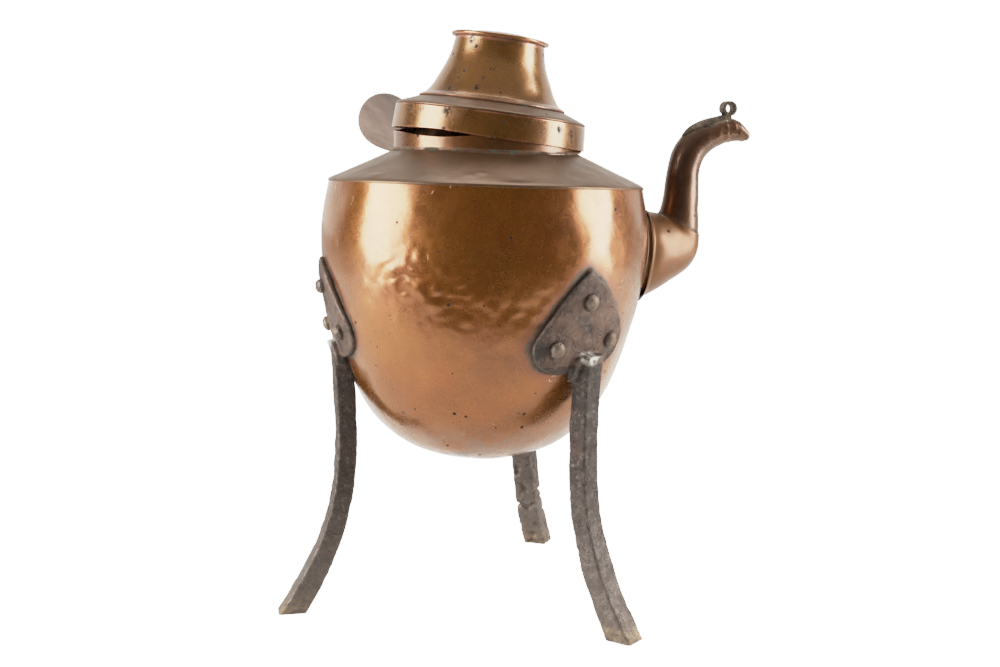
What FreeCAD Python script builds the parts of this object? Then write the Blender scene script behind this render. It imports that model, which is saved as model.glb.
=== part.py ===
import FreeCAD, Part
import math
import os

# Copper hearth kettle on three forged iron legs, in millimetres.
# The origin is on the floor, in the middle of the three feet. +Z is up and +X is the
# direction that the spout points in. Azimuths are in degrees, counterclockwise from +X.

V = FreeCAD.Vector
UP = V(0, 0, 1)
ACROSS = V(0, 1, 0)
OUT = V(1, 0, 0)

# --- sheet, clearances and the way the vessel sits -----------------------------------------
GAP = 0.05                      # solder line or fit between two pieces that touch
BOWL_SHEET = 1.5
SHEET = 1.0                     # neck, lid and spout; the shoulder is as thick as the bowl
DRILL = 30.0                    # length of the cylinders that drill rivet holes
LEAN = 2.4                      # the vessel leans a little on its uneven legs
LEAN_AZIMUTH = 30.0             # the side that it leans towards
LEAN_HEIGHT = 250.0             # the height at which the leaning axis crosses the middle

# --- vessel: outline of the bowl as (radius, height) ----------------------------------------
BOWL_OUTLINE = [(0, 92), (28, 95), (48, 102.5), (63, 114.5), (77, 134), (87, 158),
                (95.5, 190), (100.3, 224), (98.8, 246), (96.6, 259.5)]
SHOULDER_EDGE_RADIUS = 96.4
SHOULDER_EDGE_Z = 264.0
SHOULDER_SLOPE = 24.6
SHOULDER_CORNER = 3.5
SHOULDER_LAP = 1.3              # how far the cone's top edge runs in under the neck
NECK_RADIUS = 57.2
NECK_HEIGHT = 12.5
NECK_FOOT = 1.0                 # how far the neck's turned-out foot reaches
NECK_TUCK = 8.0                 # the tube starts this far below the cone's top, before trimming
NECK_TILT = 3.1                 # the neck was soldered on a little out of level
NECK_TILT_AZIMUTH = 234.0

# --- lid -------------------------------------------------------------------------------------
LID_RADIUS = 59.4               # outside, at the lower edge of the skirt
LID_SKIRT_HEIGHT = 15.0
LID_SKIRT_TAPER = 1.2
LID_FOOT_RADIUS = 44.0          # the bell's foot on the lid's shoulder
LID_SHOULDER_RISE = 6.4
LID_BELL_HEIGHT = 38.4
LID_BELL_WAIST = (34.6, 14.0)   # (radius, height over the bell's foot)
LID_BELL_THROAT = (29.6, 26.0)
LID_BEAD_RADIUS = 0.9
LID_BEAD_PROUD = 0.2
LID_TOP_RADIUS = 27.0
LID_RIM_RADIUS = 29.9
LID_RIM_ROLL = 1.25
LID_DOME_RISE = 3.2
LID_CAP_LIP = 1.2
LID_TILT = 7.6                  # the lid sits askew, low towards the spout
LID_CENTRE = V(1.6, 0.8, 288.7)     # middle of the skirt's lower edge
LID_SEAM_WIDTH = 2.2

# --- spout, in the plane Y = 0 -----------------------------------------------------------------
SPOUT_Z = 217.0
COLLAR_RADIUS = 27.6
COLLAR_HEIGHT = 3.0             # how proud of the bowl the saddle-shaped collar stands
COLLAR_BORE = 23.6
SPOUT_INNER_X = 70.0            # cutting cylinders run from here, inside the bowl,
SPOUT_OUTER_X = 130.0           # to here, outside it
BOOT_RADIUS = 26.4
SPOUT_HOLE_RADIUS = 22.0
BOOT_BACK = V(92.0, 0, 245.0)
BOOT_FRONT = V(92.0, 0, 186.4)
# each fold of the boot: its back edge, its front edge and its half width across
BOOT_FOLDS = [(V(104.5, 0, 243.4), V(108.0, 0, 192.4), 24.6),
              (V(108.6, 0, 242.8), V(121.5, 0, 200.4), 20.6),
              (V(110.8, 0, 242.4), V(133.0, 0, 208.6), 16.4),
              (V(111.6, 0, 242.2), V(138.0, 0, 217.8), 13.6),
              (V(112.2, 0, 242.0), V(138.8, 0, 228.0), 12.4)]
# the swan neck: (x, z, radius)
SWAN_NECK = [(126.4, 246.0, 11.9), (127.4, 256.0, 11.0), (128.4, 268.5, 10.4),
             (131.8, 279.5, 10.1), (139.4, 287.8, 9.3), (149.2, 292.6, 8.2),
             (160.0, 294.4, 7.3), (171.5, 293.2, 6.0)]
MOUTH_TOP = V(160.0, 0, 301.0)
MOUTH_TIP = V(170.8, 0, 292.0)
MOUTH_CUT = 30.0                # size of the block that cuts the mouth
MOUTH_CUT_START = 6.0           # it starts this far behind the mouth's top

# --- hinge strap on the spout --------------------------------------------------------------------
STRAP_SHEET = 1.7
STRAP_TAIL = V(129.0, 0, 288.0)
STRAP_NOSE = V(160.0, 0, 299.0)
STRAP_HALF_WIDTH = 6.2
STRAP_LEAF = [(0, 0.1), (0.3, 0.78), (0.62, 1.0)]   # shares of its length and half width
STRAP_REACH = 14.0              # the leaf's outline is raised this far to meet the spout
KNUCKLE_CENTRE = V(157.7, 0, 307.9)
KNUCKLE_RADIUS = 4.8
KNUCKLE_HOLE = 2.2
KNUCKLE_WIDTH = 9.0

# --- legs ------------------------------------------------------------------------------------
BAR_WIDTH = 15.0
BAR_DEPTH = 12.0
BAR_CHAMFER = 1.8
BAR_FLARE = 0.25                # how much deeper the bar is at the foot than at its top
BAR_FOOT_RADIUS = 122.0
BAR_LINE = [(92.3, 166), (90.2, 140), (89.2, 112), (90.4, 82), (96.2, 54),
            (106.4, 28), (122.0, 0), (128.0, -10)]
FLOOR_BLOCK = 200.0             # the soles are cut level by a block of this size
PLATE_SHEET = 3.2
PLATE_OUTER = 150.0             # the plate's outline is cut from this radius
PLATE_INNER = 50.0              # to this one
PLATE_OUTLINE = [(0, 216), (12, 206), (26, 188), (33.5, 173), (26, 161), (7, 157)]
# each hand-forged leg: plate's azimuth and twist, bar's azimuth at its top, foot's azimuth, radius
LEGS = {
    "leg_rear": (60.0, 3.0, 61.4, 60.6, 125.0),
    "leg_front_left": (182.0, -2.0, 184.5, 183.5, 124.5),
    "leg_front_right": (298.5, 6.0, 298.4, 301.0, 119.5),
}

# --- rivets ------------------------------------------------------------------------------------
RIVET_SHANK = 2.5
RIVET_HEAD = 4.6
RIVET_HEAD_TOP = 2.8
RIVET_HEAD_HEIGHT = 4.2
RIVET_TAIL = 4.2
RIVET_TAIL_HEIGHT = 1.8
RIVET_FLAT = 0.25               # the heads sit on a spot filed flat on the curved sheet
RIVET_TAIL_FLAT = 0.85
PLATE_RIVETS = {"top": (0, 198), "left": (-19.5, 173), "right": (19.5, 173)}

# --- side handle -------------------------------------------------------------------------------
HANDLE_AZIMUTH = 100.0
HANDLE_ROOT = V(78.0, 0, 274.0)     # where the handle's axis meets the shoulder
HANDLE_RISE = 13.5
SOCKET_LENGTH = 48.0
SOCKET_ROOT = 14.0                  # the socket tube runs on below the root, to the shoulder
SOCKET_FLANGE_REACH = 15.5          # half of the flange along the slope
SOCKET_FLANGE_WING = 25.0           # half of the flange across
SOCKET_BORE = 9.2
SOCKET_WALL = 1.4
SOCKET_FLARE = 0.8                  # how much wider the socket is at its root
FLANGE_COLUMN = 40.0                # height of the column that cuts the flange's outline
GRIP_START = 30.0                   # the wood starts this far up the axis, inside the socket
GRIP_END = 145.0
GRIP_FIT = 0.35
# the grip's outline as (radius, distance from the socket's end), then its rounded end
GRIP_OUTLINE = [(14.0, 0), (13.0, 20), (16.4, 48), (19.6, 72), (20.0, 83)]
GRIP_END_RADIUS = 15.5
GRIP_END_ROUND = 3.2
PIN_RADIUS = 1.6
PIN_PROUD = 3.0
PIN_AT = 40.0
FLANGE_RIVET_SHANK = 2.0
FLANGE_RIVET_HEAD = 3.4
FLANGE_RIVET_TOP = 2.2
FLANGE_RIVET_HEIGHT = 2.2
FLANGE_RIVET_TAIL = 3.0
FLANGE_RIVET_TAIL_HEIGHT = 1.4
FLANGE_RIVET_FLAT = 0.2
FLANGE_RIVETS = {"left": 18.5, "right": -18.5}

NODES = {}


def tilt(shape, height, azimuth, angle):
    """Tip a shape about a point on the axis, so that its side at the azimuth goes down."""
    turn = math.radians(azimuth)
    axis = V(-math.sin(turn), math.cos(turn), 0)
    return shape.copy().rotate(V(0, 0, height), axis, angle)


def lean(shape):
    """The vessel's own upright frame, turned to the way it really sits on its legs."""
    return tilt(shape, LEAN_HEIGHT, LEAN_AZIMUTH, LEAN)


def spline(points):
    curve = Part.BSplineCurve()
    curve.interpolate([V(*p) for p in points])
    return curve


def offset_points(points, distance, samples=28):
    """Points along the (radius, height) outline, moved outwards by a distance."""
    curve = Part.BSplineCurve()
    curve.interpolate(Points=[V(r, 0, z) for r, z in points],
                      InitialTangent=V(1, 0, 0), FinalTangent=V(-0.16, 0, 1), PeriodicFlag=False)
    first, last = curve.FirstParameter, curve.LastParameter
    moved = []
    for i in range(samples + 1):
        t = first + (last - first) * i / samples
        p = curve.value(t)
        along = curve.tangent(t)[0]
        moved.append(V(p.x + along.z * distance, 0, p.z - along.x * distance))
    moved[0].x = 0
    return moved


def outline_edge(points, distance):
    curve = Part.BSplineCurve()
    curve.interpolate(offset_points(points, distance))
    return curve.toShape()


def revolve(edges):
    wire = Part.Wire(Part.__sortEdges__(edges))
    return Part.Face(wire).revolve(V(0, 0, 0), UP, 360)


def revolve_polygon(points):
    corners = [V(r, 0, z) for r, z in points]
    return Part.Face(Part.makePolygon(corners + corners[:1])).revolve(V(0, 0, 0), UP, 360)


def ends(edge):
    return edge.valueAt(edge.FirstParameter), edge.valueAt(edge.LastParameter)


def bowl_solid(distance):
    """The bowl filled up, and swollen by a distance. It cuts what lies against the bowl."""
    side = outline_edge(BOWL_OUTLINE, distance)
    bottom, top = ends(side)
    axis_top = V(0, 0, top.z)
    return revolve([side, Part.makeLine(top, axis_top), Part.makeLine(axis_top, bottom)])


def bowl_shell():
    outer = outline_edge(BOWL_OUTLINE, 0)
    inner = outline_edge(BOWL_OUTLINE, -BOWL_SHEET)
    outer_bottom, outer_top = ends(outer)
    inner_bottom, inner_top = ends(inner)
    return revolve([outer, Part.makeLine(outer_top, inner_top), inner,
                    Part.makeLine(inner_bottom, outer_bottom)])


# --- shoulder and neck ---------------------------------------------------------------------------

def shoulder_line(distance):
    """The cone from the bowl's top edge to the neck, moved outwards: corner, then slope."""
    slope = math.radians(SHOULDER_SLOPE)
    edge = outline_edge(BOWL_OUTLINE, distance)
    rim = ends(edge)[1] + V(-0.01, 0, GAP)
    radius = SHOULDER_CORNER + distance
    turn = V(SHOULDER_EDGE_RADIUS - SHOULDER_CORNER, 0, SHOULDER_EDGE_Z - SHOULDER_CORNER)
    corner_end = turn + V(math.sin(slope), 0, math.cos(slope)) * radius
    middle = (90 + SHOULDER_SLOPE) / 2
    across = V(math.sin(math.radians(middle)), 0, math.cos(math.radians(middle)))
    corner_start = turn + V(radius, 0, 0)
    reach = corner_end.x - (NECK_RADIUS - SHOULDER_LAP)
    top = corner_end + V(-reach, 0, reach * math.tan(slope))
    return [Part.makeLine(rim, corner_start),
            Part.Arc(corner_start, turn + across * radius, corner_end).toShape(),
            Part.makeLine(corner_end, top)]


def shoulder_shell():
    outer = shoulder_line(0)
    inner = shoulder_line(-BOWL_SHEET)
    return revolve(outer + inner + [
        Part.makeLine(ends(outer[0])[0], ends(inner[0])[0]),
        Part.makeLine(ends(outer[-1])[1], ends(inner[-1])[1])])


def shoulder_solid(distance):
    line = shoulder_line(distance)
    top = ends(line[-1])[1]
    rim = ends(line[0])[0]
    peak = V(0, 0, top.z + top.x * math.tan(math.radians(SHOULDER_SLOPE)))
    floor = V(0, 0, rim.z)
    return revolve(line + [Part.makeLine(top, peak), Part.makeLine(peak, floor),
                           Part.makeLine(floor, rim)])


def neck_collar():
    """A tube with a turned-out foot. It stands on the cone and its rim is out of level."""
    base = ends(shoulder_line(0)[-1])[1].z
    rim = base + NECK_HEIGHT
    low = base - NECK_TUCK
    inner = NECK_RADIUS - SHEET
    foot = NECK_RADIUS + NECK_FOOT
    middle = NECK_FOOT * (1 - math.sqrt(0.5))
    sweep = Part.Arc(V(NECK_RADIUS, 0, base + NECK_FOOT),
                     V(NECK_RADIUS + middle, 0, base + middle),
                     V(foot, 0, base)).toShape()
    tube = revolve([
        Part.makeLine(V(inner, 0, low), V(inner, 0, rim)),
        Part.makeLine(V(inner, 0, rim), V(NECK_RADIUS, 0, rim)),
        Part.makeLine(V(NECK_RADIUS, 0, rim), V(NECK_RADIUS, 0, base + NECK_FOOT)),
        sweep,
        Part.makeLine(V(foot, 0, base), V(foot, 0, low)),
        Part.makeLine(V(foot, 0, low), V(inner, 0, low))])
    tilted = tilt(tube, base, NECK_TILT_AZIMUTH, NECK_TILT)
    return tilted.cut(shoulder_solid(GAP))


# --- lid, in its own frame with the skirt's lower edge at height 0 -----------------------------------

LID_TOP_OF_SKIRT = LID_RADIUS - LID_SKIRT_TAPER
LID_FOOT_Z = LID_SKIRT_HEIGHT + LID_SHOULDER_RISE
LID_TOP_Z = LID_FOOT_Z + LID_BELL_HEIGHT


def place_lid(shape):
    turned = shape.copy().rotate(V(0, 0, 0), ACROSS, LID_TILT)
    return turned.translate(LID_CENTRE)


def lid_skirt():
    top = LID_SKIRT_HEIGHT - GAP
    return revolve_polygon([(LID_RADIUS, 0), (LID_TOP_OF_SKIRT, top),
                            (LID_TOP_OF_SKIRT - SHEET, top), (LID_RADIUS - SHEET, 0)])


def lid_shoulder():
    """A shallow cone that covers the skirt, with a hole under the bell."""
    inner = LID_FOOT_RADIUS - LID_SEAM_WIDTH
    return revolve_polygon([
        (LID_TOP_OF_SKIRT, LID_SKIRT_HEIGHT), (LID_TOP_OF_SKIRT, LID_SKIRT_HEIGHT + SHEET),
        (LID_FOOT_RADIUS, LID_FOOT_Z), (inner, LID_FOOT_Z),
        (inner, LID_FOOT_Z - SHEET), (LID_FOOT_RADIUS, LID_FOOT_Z - SHEET),
        (LID_TOP_OF_SKIRT - SHEET, LID_SKIRT_HEIGHT)])


def bell_curve(inwards):
    """The bell's concave side, from its foot to its top."""
    foot = V(LID_FOOT_RADIUS - inwards, 0, LID_FOOT_Z + GAP)
    middle = [V(r - inwards, 0, LID_FOOT_Z + z) for r, z in (LID_BELL_WAIST, LID_BELL_THROAT)]
    top = V(LID_TOP_RADIUS - inwards, 0, LID_TOP_Z)
    curve = Part.BSplineCurve()
    curve.interpolate([foot] + middle + [top])
    return curve.toShape()


def lid_bell():
    """The bell, with a flange at its top that the rolled rim grips."""
    outer = bell_curve(0)
    inner = bell_curve(SHEET)
    outer_foot, outer_top = ends(outer)
    inner_foot, inner_top = ends(inner)
    body = revolve([outer, inner, Part.makeLine(outer_foot, inner_foot),
                    Part.makeLine(outer_top, inner_top)])
    bead = Part.makeTorus(LID_FOOT_RADIUS + LID_BEAD_PROUD, LID_BEAD_RADIUS,
                          V(0, 0, LID_FOOT_Z + GAP + LID_BEAD_RADIUS), UP)
    return body.fuse(bead).removeSplitter()


def lid_rim():
    """The bell's top edge rolled outwards over a wire."""
    centre = LID_RIM_RADIUS - LID_RIM_ROLL
    z = LID_TOP_Z + GAP + LID_RIM_ROLL
    roll = Part.makeTorus(centre, LID_RIM_ROLL, V(0, 0, z), UP)
    flange = Part.makeCylinder(centre, SHEET, V(0, 0, LID_TOP_Z + GAP))
    hole = Part.makeCylinder(LID_TOP_RADIUS - SHEET, SHEET, V(0, 0, LID_TOP_Z + GAP))
    return roll.fuse(flange.cut(hole)).removeSplitter()


def dome(reach, foot):
    """An arc from the cap's edge to the axis, level at its top."""
    ball = (reach ** 2 + LID_DOME_RISE ** 2) / (2 * LID_DOME_RISE)
    top = foot + LID_DOME_RISE
    middle = V(reach / 2, 0, top - ball + math.sqrt(ball ** 2 - reach ** 2 / 4))
    return Part.Arc(V(reach, 0, foot), middle, V(0, 0, top)).toShape()


def lid_cap():
    """A low domed disc that closes the top, inside the rolled rim."""
    radius = LID_RIM_RADIUS - 2 * LID_RIM_ROLL - 2 * GAP
    base = LID_TOP_Z + SHEET + 2 * GAP
    edge = base + LID_CAP_LIP
    outer = dome(radius, edge)
    inner = dome(radius - SHEET, edge - SHEET)
    lip = [V(radius, 0, edge), V(radius, 0, base), V(radius - SHEET, 0, base),
           V(radius - SHEET, 0, edge - SHEET)]
    sides = [Part.makeLine(lip[i], lip[i + 1]) for i in range(3)]
    axis = Part.makeLine(ends(outer)[1], ends(inner)[1])
    return revolve([outer, inner, axis] + sides)


# --- spout -------------------------------------------------------------------------------------

def ellipse(back, front, half_width):
    """A closed section across the spout, from its back edge to its front edge."""
    centre = (back + front) * 0.5
    long_side = (front - back).Length / 2
    along = (front - back).normalize()
    steps = 16
    points = []
    for i in range(steps):
        a = 2 * math.pi * i / steps
        points.append(centre + along * (long_side * math.cos(a)) + ACROSS * (half_width * math.sin(a)))
    curve = Part.BSplineCurve()
    curve.interpolate(Points=points, PeriodicFlag=True)
    return Part.Wire(curve.toShape())


def boot_sections(inwards):
    wires = []
    for back, front, half_width in [(BOOT_BACK, BOOT_FRONT, BOOT_RADIUS)] + BOOT_FOLDS:
        along = (front - back).normalize()
        wires.append(ellipse(back + along * inwards, front - along * inwards, half_width - inwards))
    return wires


def wall(outer, inner):
    """A closed sheet-metal wall between two rows of sections, with a ring at each end."""
    sides = Part.makeLoft(outer, False, False).Faces + Part.makeLoft(inner, False, False).Faces
    rings = [Part.makeLoft([outer[i], inner[i]], False, True).Faces[0] for i in (0, -1)]
    shell = Part.makeShell(sides + rings)
    shell.sewShape()
    solid = Part.makeSolid(shell)
    if solid.Volume < 0:
        solid.reverse()
    return solid


def spout_boot(bowl_tool):
    """The bent stub between the collar and the swan neck."""
    return wall(boot_sections(0), boot_sections(SHEET)).cut(bowl_tool)


def swan_sections(swell):
    """The swan neck's sections: the seam on the boot, then round ones along its line."""
    back, front, half_width = BOOT_FOLDS[-1]
    along = (front - back).normalize()
    rise = V(-along.z, 0, along.x) * GAP
    wires = [ellipse(back - along * swell + rise, front + along * swell + rise, half_width + swell)]
    line = [V(x, 0, z) for x, z, radius in SWAN_NECK]
    curve = Part.BSplineCurve()
    curve.interpolate([(back + front) * 0.5] + line)
    for (x, z, radius), centre in zip(SWAN_NECK, line):
        direction = curve.tangent(curve.parameter(centre))[0]
        side = V(direction.z, 0, -direction.x)
        reach = radius + swell
        wires.append(ellipse(centre - side * reach, centre + side * reach, reach))
    return wires


def mouth_cutter():
    """Everything above the slanting plane of the mouth."""
    along = (MOUTH_TIP - MOUTH_TOP).normalize()
    normal = V(-along.z, 0, along.x)
    corner = MOUTH_TOP - along * MOUTH_CUT_START - ACROSS * MOUTH_CUT
    wide = ACROSS * 2 * MOUTH_CUT
    long = along * MOUTH_CUT
    corners = [corner, corner + wide, corner + wide + long, corner + long]
    face = Part.Face(Part.makePolygon(corners + corners[:1]))
    return face.extrude(normal * MOUTH_CUT)


def spout_neck():
    return wall(swan_sections(0), swan_sections(-SHEET)).cut(mouth_cutter())


def spout_cylinder(radius):
    """A cylinder along the spout's root, from inside the bowl to outside it."""
    return Part.makeCylinder(radius, SPOUT_OUTER_X - SPOUT_INNER_X, V(SPOUT_INNER_X, 0, SPOUT_Z), OUT)


def spout_collar():
    """A saddle-shaped ring that lies on the bowl round the spout's root."""
    ring = spout_cylinder(COLLAR_RADIUS)
    bore = spout_cylinder(COLLAR_BORE)
    saddle = lean(bowl_solid(GAP + COLLAR_HEIGHT)).cut(lean(bowl_solid(GAP)))
    return saddle.common(ring).cut(bore)


def strap():
    """A leaf of sheet soldered along the spout's back, curled into a knuckle at its nose."""
    along = (STRAP_NOSE - STRAP_TAIL).normalize()
    normal = V(-along.z, 0, along.x)
    length = (STRAP_NOSE - STRAP_TAIL).Length
    leaf = [(length * u, STRAP_HALF_WIDTH * v) for u, v in STRAP_LEAF]
    leaf.append((length, KNUCKLE_WIDTH / 2))
    sides = []
    for sign in (1, -1):
        points = [STRAP_TAIL + along * u + ACROSS * (sign * v) for u, v in leaf]
        curve = Part.BSplineCurve()
        curve.interpolate(points)
        sides.append(curve.toShape())
    closing = [Part.makeLine(ends(sides[0])[i], ends(sides[1])[i]) for i in (0, 1)]
    face = Part.Face(Part.Wire(Part.__sortEdges__(sides + closing)))
    prism = face.extrude(normal * STRAP_REACH)
    saddle = wall(swan_sections(STRAP_SHEET), swan_sections(GAP)).common(prism)
    start = KNUCKLE_CENTRE - ACROSS * (KNUCKLE_WIDTH / 2)
    ring = Part.makeCylinder(KNUCKLE_RADIUS, KNUCKLE_WIDTH, start, ACROSS)
    hole = Part.makeCylinder(KNUCKLE_HOLE, KNUCKLE_WIDTH, start, ACROSS)
    return saddle.fuse(ring).cut(hole).removeSplitter()


# --- legs and their rivets ---------------------------------------------------------------------

def around(thing, azimuth):
    """Turn a shape or a point about the middle."""
    if isinstance(thing, FreeCAD.Vector):
        return FreeCAD.Rotation(UP, azimuth).multVec(thing)
    return thing.copy().rotate(V(0, 0, 0), UP, azimuth)


def plate(twist):
    """The leaf-shaped palm that lies on the bowl, for a leg at azimuth 0."""
    right = spline([(PLATE_OUTER, y, z) for y, z in PLATE_OUTLINE])
    left = spline([(PLATE_OUTER, -y, z) for y, z in PLATE_OUTLINE])
    half_foot, foot_z = PLATE_OUTLINE[-1]
    closing = Part.makeLine(V(PLATE_OUTER, half_foot, foot_z), V(PLATE_OUTER, -half_foot, foot_z))
    face = Part.Face(Part.Wire(Part.__sortEdges__([right.toShape(), left.toShape(), closing])))
    prism = face.extrude(OUT * (PLATE_INNER - PLATE_OUTER)).rotate(V(0, 0, foot_z), OUT, twist)
    return bowl_solid(PLATE_SHEET + GAP).cut(bowl_solid(GAP)).common(prism)


def bar(top_azimuth, foot_azimuth, foot_radius):
    """The forged bar from the plate to the floor, its sole cut level."""
    top_radius, top_z = BAR_LINE[0]
    top = around(V(top_radius, 0, 0), top_azimuth)
    foot = around(V(foot_radius, 0, 0), foot_azimuth)
    reach = (foot - top).Length
    plain_reach = BAR_FOOT_RADIUS - top_radius
    line = []
    for r, z in BAR_LINE:
        spread = (reach - plain_reach) * ((top_z - z) / top_z) ** 2
        line.append(V(r - top_radius + spread, 0, z))
    middle = Part.BSplineCurve()
    middle.interpolate(line)
    first, last = middle.FirstParameter, middle.LastParameter
    steps = 12
    sides = ([], [])
    for i in range(steps + 1):
        t = first + (last - first) * i / steps
        along = middle.tangent(t)[0]
        drop = min(1, (top_z - middle.value(t).z) / top_z)
        across = V(-along.z, 0, along.x) * (BAR_DEPTH / 2 * (1 + BAR_FLARE * drop ** 4))
        sides[0].append(middle.value(t) + across - ACROSS * (BAR_WIDTH / 2))
        sides[1].append(middle.value(t) - across - ACROSS * (BAR_WIDTH / 2))
    edges = []
    for side in sides:
        curve = Part.BSplineCurve()
        curve.interpolate(side)
        edges.append(curve.toShape())
    closing = [Part.makeLine(ends(edges[0])[i], ends(edges[1])[i]) for i in (0, 1)]
    face = Part.Face(Part.Wire(Part.__sortEdges__(edges + closing)))
    solid = face.extrude(ACROSS * BAR_WIDTH)
    long_edges = [e for e in solid.Edges if e.Length > top_z / 2]
    solid = solid.makeChamfer(BAR_CHAMFER, long_edges).Solids[0]
    block = FLOOR_BLOCK
    below = Part.makeBox(block, block, block, V(-block / 2, -block / 2, -block))
    heading = math.degrees(math.atan2(foot.y - top.y, foot.x - top.x))
    return around(solid.cut(below), heading).translate(top)


def rivet(seat, inner_seat):
    """A rivet along +X: faceted outer head at seat, tail head inside at inner_seat."""
    shank = Part.makeCylinder(RIVET_SHANK, seat - inner_seat, V(inner_seat, 0, 0), OUT)
    head = Part.makeCone(RIVET_HEAD, RIVET_HEAD_TOP, RIVET_HEAD_HEIGHT, V(seat, 0, 0), OUT)
    tail = Part.makeCylinder(RIVET_TAIL, RIVET_TAIL_HEIGHT,
                             V(inner_seat - RIVET_TAIL_HEIGHT, 0, 0), OUT)
    return shank.fuse([head, tail]).removeSplitter()


def bowl_point(height):
    """Radius and slope of the bowl's outside at a height."""
    points = offset_points(BOWL_OUTLINE, 0, 200)
    for low, high in zip(points, points[1:]):
        if low.z <= height <= high.z:
            share = (height - low.z) / (high.z - low.z)
            slope = math.degrees(math.atan2(high.x - low.x, high.z - low.z))
            return low.x + (high.x - low.x) * share, slope
    raise ValueError("height is off the bowl")


def place_on_bowl(shape, leg_azimuth, across, height):
    """Move a shape made along +X from the origin so that +X is the bowl's outward normal."""
    radius, slope = bowl_point(height)
    azimuth = leg_azimuth + math.degrees(across / radius)
    moved = shape.copy().rotate(V(0, 0, 0), ACROSS, slope)
    moved.translate(V(radius, 0, height))
    return around(moved, azimuth)


def twisted(spot, twist):
    """A rivet's place on its plate, turned with the plate about the plate's foot."""
    foot = V(0, 0, PLATE_OUTLINE[-1][1])
    turned = FreeCAD.Rotation(OUT, twist).multVec(V(0, spot[0], spot[1]) - foot) + foot
    return turned.y, turned.z


def make_legs(bowl):
    """Three legs and nine rivets. Returns the bowl with its rivet holes."""
    outer_seat = PLATE_SHEET + GAP + RIVET_FLAT
    inner_seat = -BOWL_SHEET - GAP - RIVET_TAIL_FLAT
    hole = Part.makeCylinder(RIVET_SHANK + GAP, DRILL, V(-DRILL / 2, 0, 0), OUT)
    one_rivet = rivet(outer_seat, inner_seat)
    for name, (plate_azimuth, twist, top_azimuth, foot_azimuth, foot_radius) in LEGS.items():
        palm = lean(around(plate(twist), plate_azimuth))
        iron = bar(top_azimuth, foot_azimuth, foot_radius).cut(lean(bowl_solid(GAP)))
        leg = palm.fuse(iron).removeSplitter()
        for place, spot in PLATE_RIVETS.items():
            across, height = twisted(spot, twist)
            drill = lean(place_on_bowl(hole, plate_azimuth, across, height))
            bowl = bowl.cut(drill)
            leg = leg.cut(drill)
            NODES[name + "_rivet_" + place] = lean(
                place_on_bowl(one_rivet, plate_azimuth, across, height))
        NODES[name] = leg
    return bowl


# --- handle --------------------------------------------------------------------------------------

def place_handle(shape):
    """Move a shape made along +Z from the origin onto the handle's rising axis."""
    turned = shape.copy().rotate(V(0, 0, 0), ACROSS, 90 - HANDLE_RISE)
    turned.translate(HANDLE_ROOT)
    return around(turned, HANDLE_AZIMUTH)


def grip():
    """The turned grip: a spigot in the socket, a collar, a waist and a bulbous end."""
    spigot = SOCKET_BORE - GRIP_FIT
    shoulder = SOCKET_LENGTH + GAP
    points = [V(r, 0, shoulder + z) for r, z in GRIP_OUTLINE]
    curve = Part.BSplineCurve()
    curve.interpolate(points + [V(GRIP_END_RADIUS, 0, GRIP_END - GRIP_END_ROUND),
                                V(0, 0, GRIP_END)])
    side = curve.toShape()
    return revolve([side, Part.makeLine(V(0, 0, GRIP_END), V(0, 0, GRIP_START)),
                    Part.makeLine(V(0, 0, GRIP_START), V(spigot, 0, GRIP_START)),
                    Part.makeLine(V(spigot, 0, GRIP_START), V(spigot, 0, shoulder)),
                    Part.makeLine(V(spigot, 0, shoulder), points[0])])


def make_handle(shoulder):
    """Socket, grip, pin and two flange rivets. Returns the shoulder with its holes."""
    swollen = shoulder_solid(GAP)
    thicker = shoulder_solid(GAP + SOCKET_WALL)
    middle = V(HANDLE_ROOT.x, 0, SHOULDER_EDGE_Z - SOCKET_WALL)
    outline = Part.Ellipse(middle, SOCKET_FLANGE_WING, SOCKET_FLANGE_REACH).toShape()
    outline.rotate(middle, UP, 90)
    column = Part.Face(Part.Wire(outline)).extrude(UP * FLANGE_COLUMN)
    flange = thicker.cut(swollen).common(around(column, HANDLE_AZIMUTH))
    outer = Part.makeCone(SOCKET_BORE + SOCKET_WALL + SOCKET_FLARE, SOCKET_BORE + SOCKET_WALL,
                          SOCKET_LENGTH + SOCKET_ROOT, V(0, 0, -SOCKET_ROOT))
    bore = Part.makeCylinder(SOCKET_BORE, SOCKET_LENGTH + 2 * SOCKET_ROOT, V(0, 0, -SOCKET_ROOT))
    tube = place_handle(outer).cut(swollen)
    socket = flange.fuse(tube).cut(place_handle(bore)).removeSplitter()
    reach = SOCKET_BORE + SOCKET_WALL + PIN_PROUD
    pin = Part.makeCylinder(PIN_RADIUS, 2 * reach, V(0, -reach, PIN_AT), ACROSS)
    pin_hole = Part.makeCylinder(PIN_RADIUS + GAP, 4 * reach, V(0, -2 * reach, PIN_AT), ACROSS)
    socket = socket.cut(place_handle(pin_hole))
    wood = place_handle(grip().cut(pin_hole))

    foot_radius = HANDLE_ROOT.x
    hole = Part.makeCylinder(FLANGE_RIVET_SHANK + GAP, DRILL, V(-DRILL / 2, 0, 0), OUT)
    for side, across in FLANGE_RIVETS.items():
        azimuth = HANDLE_AZIMUTH + math.degrees(across / foot_radius)
        drill = place_on_shoulder(hole, azimuth, foot_radius)
        shoulder = shoulder.cut(drill)
        socket = socket.cut(drill)
        NODES["handle_rivet_" + side] = lean(place_on_shoulder(flange_rivet(), azimuth, foot_radius))
    NODES["handle_socket"] = lean(socket)
    NODES["handle_grip"] = lean(wood)
    NODES["handle_pin"] = lean(place_handle(pin))
    return shoulder


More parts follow.
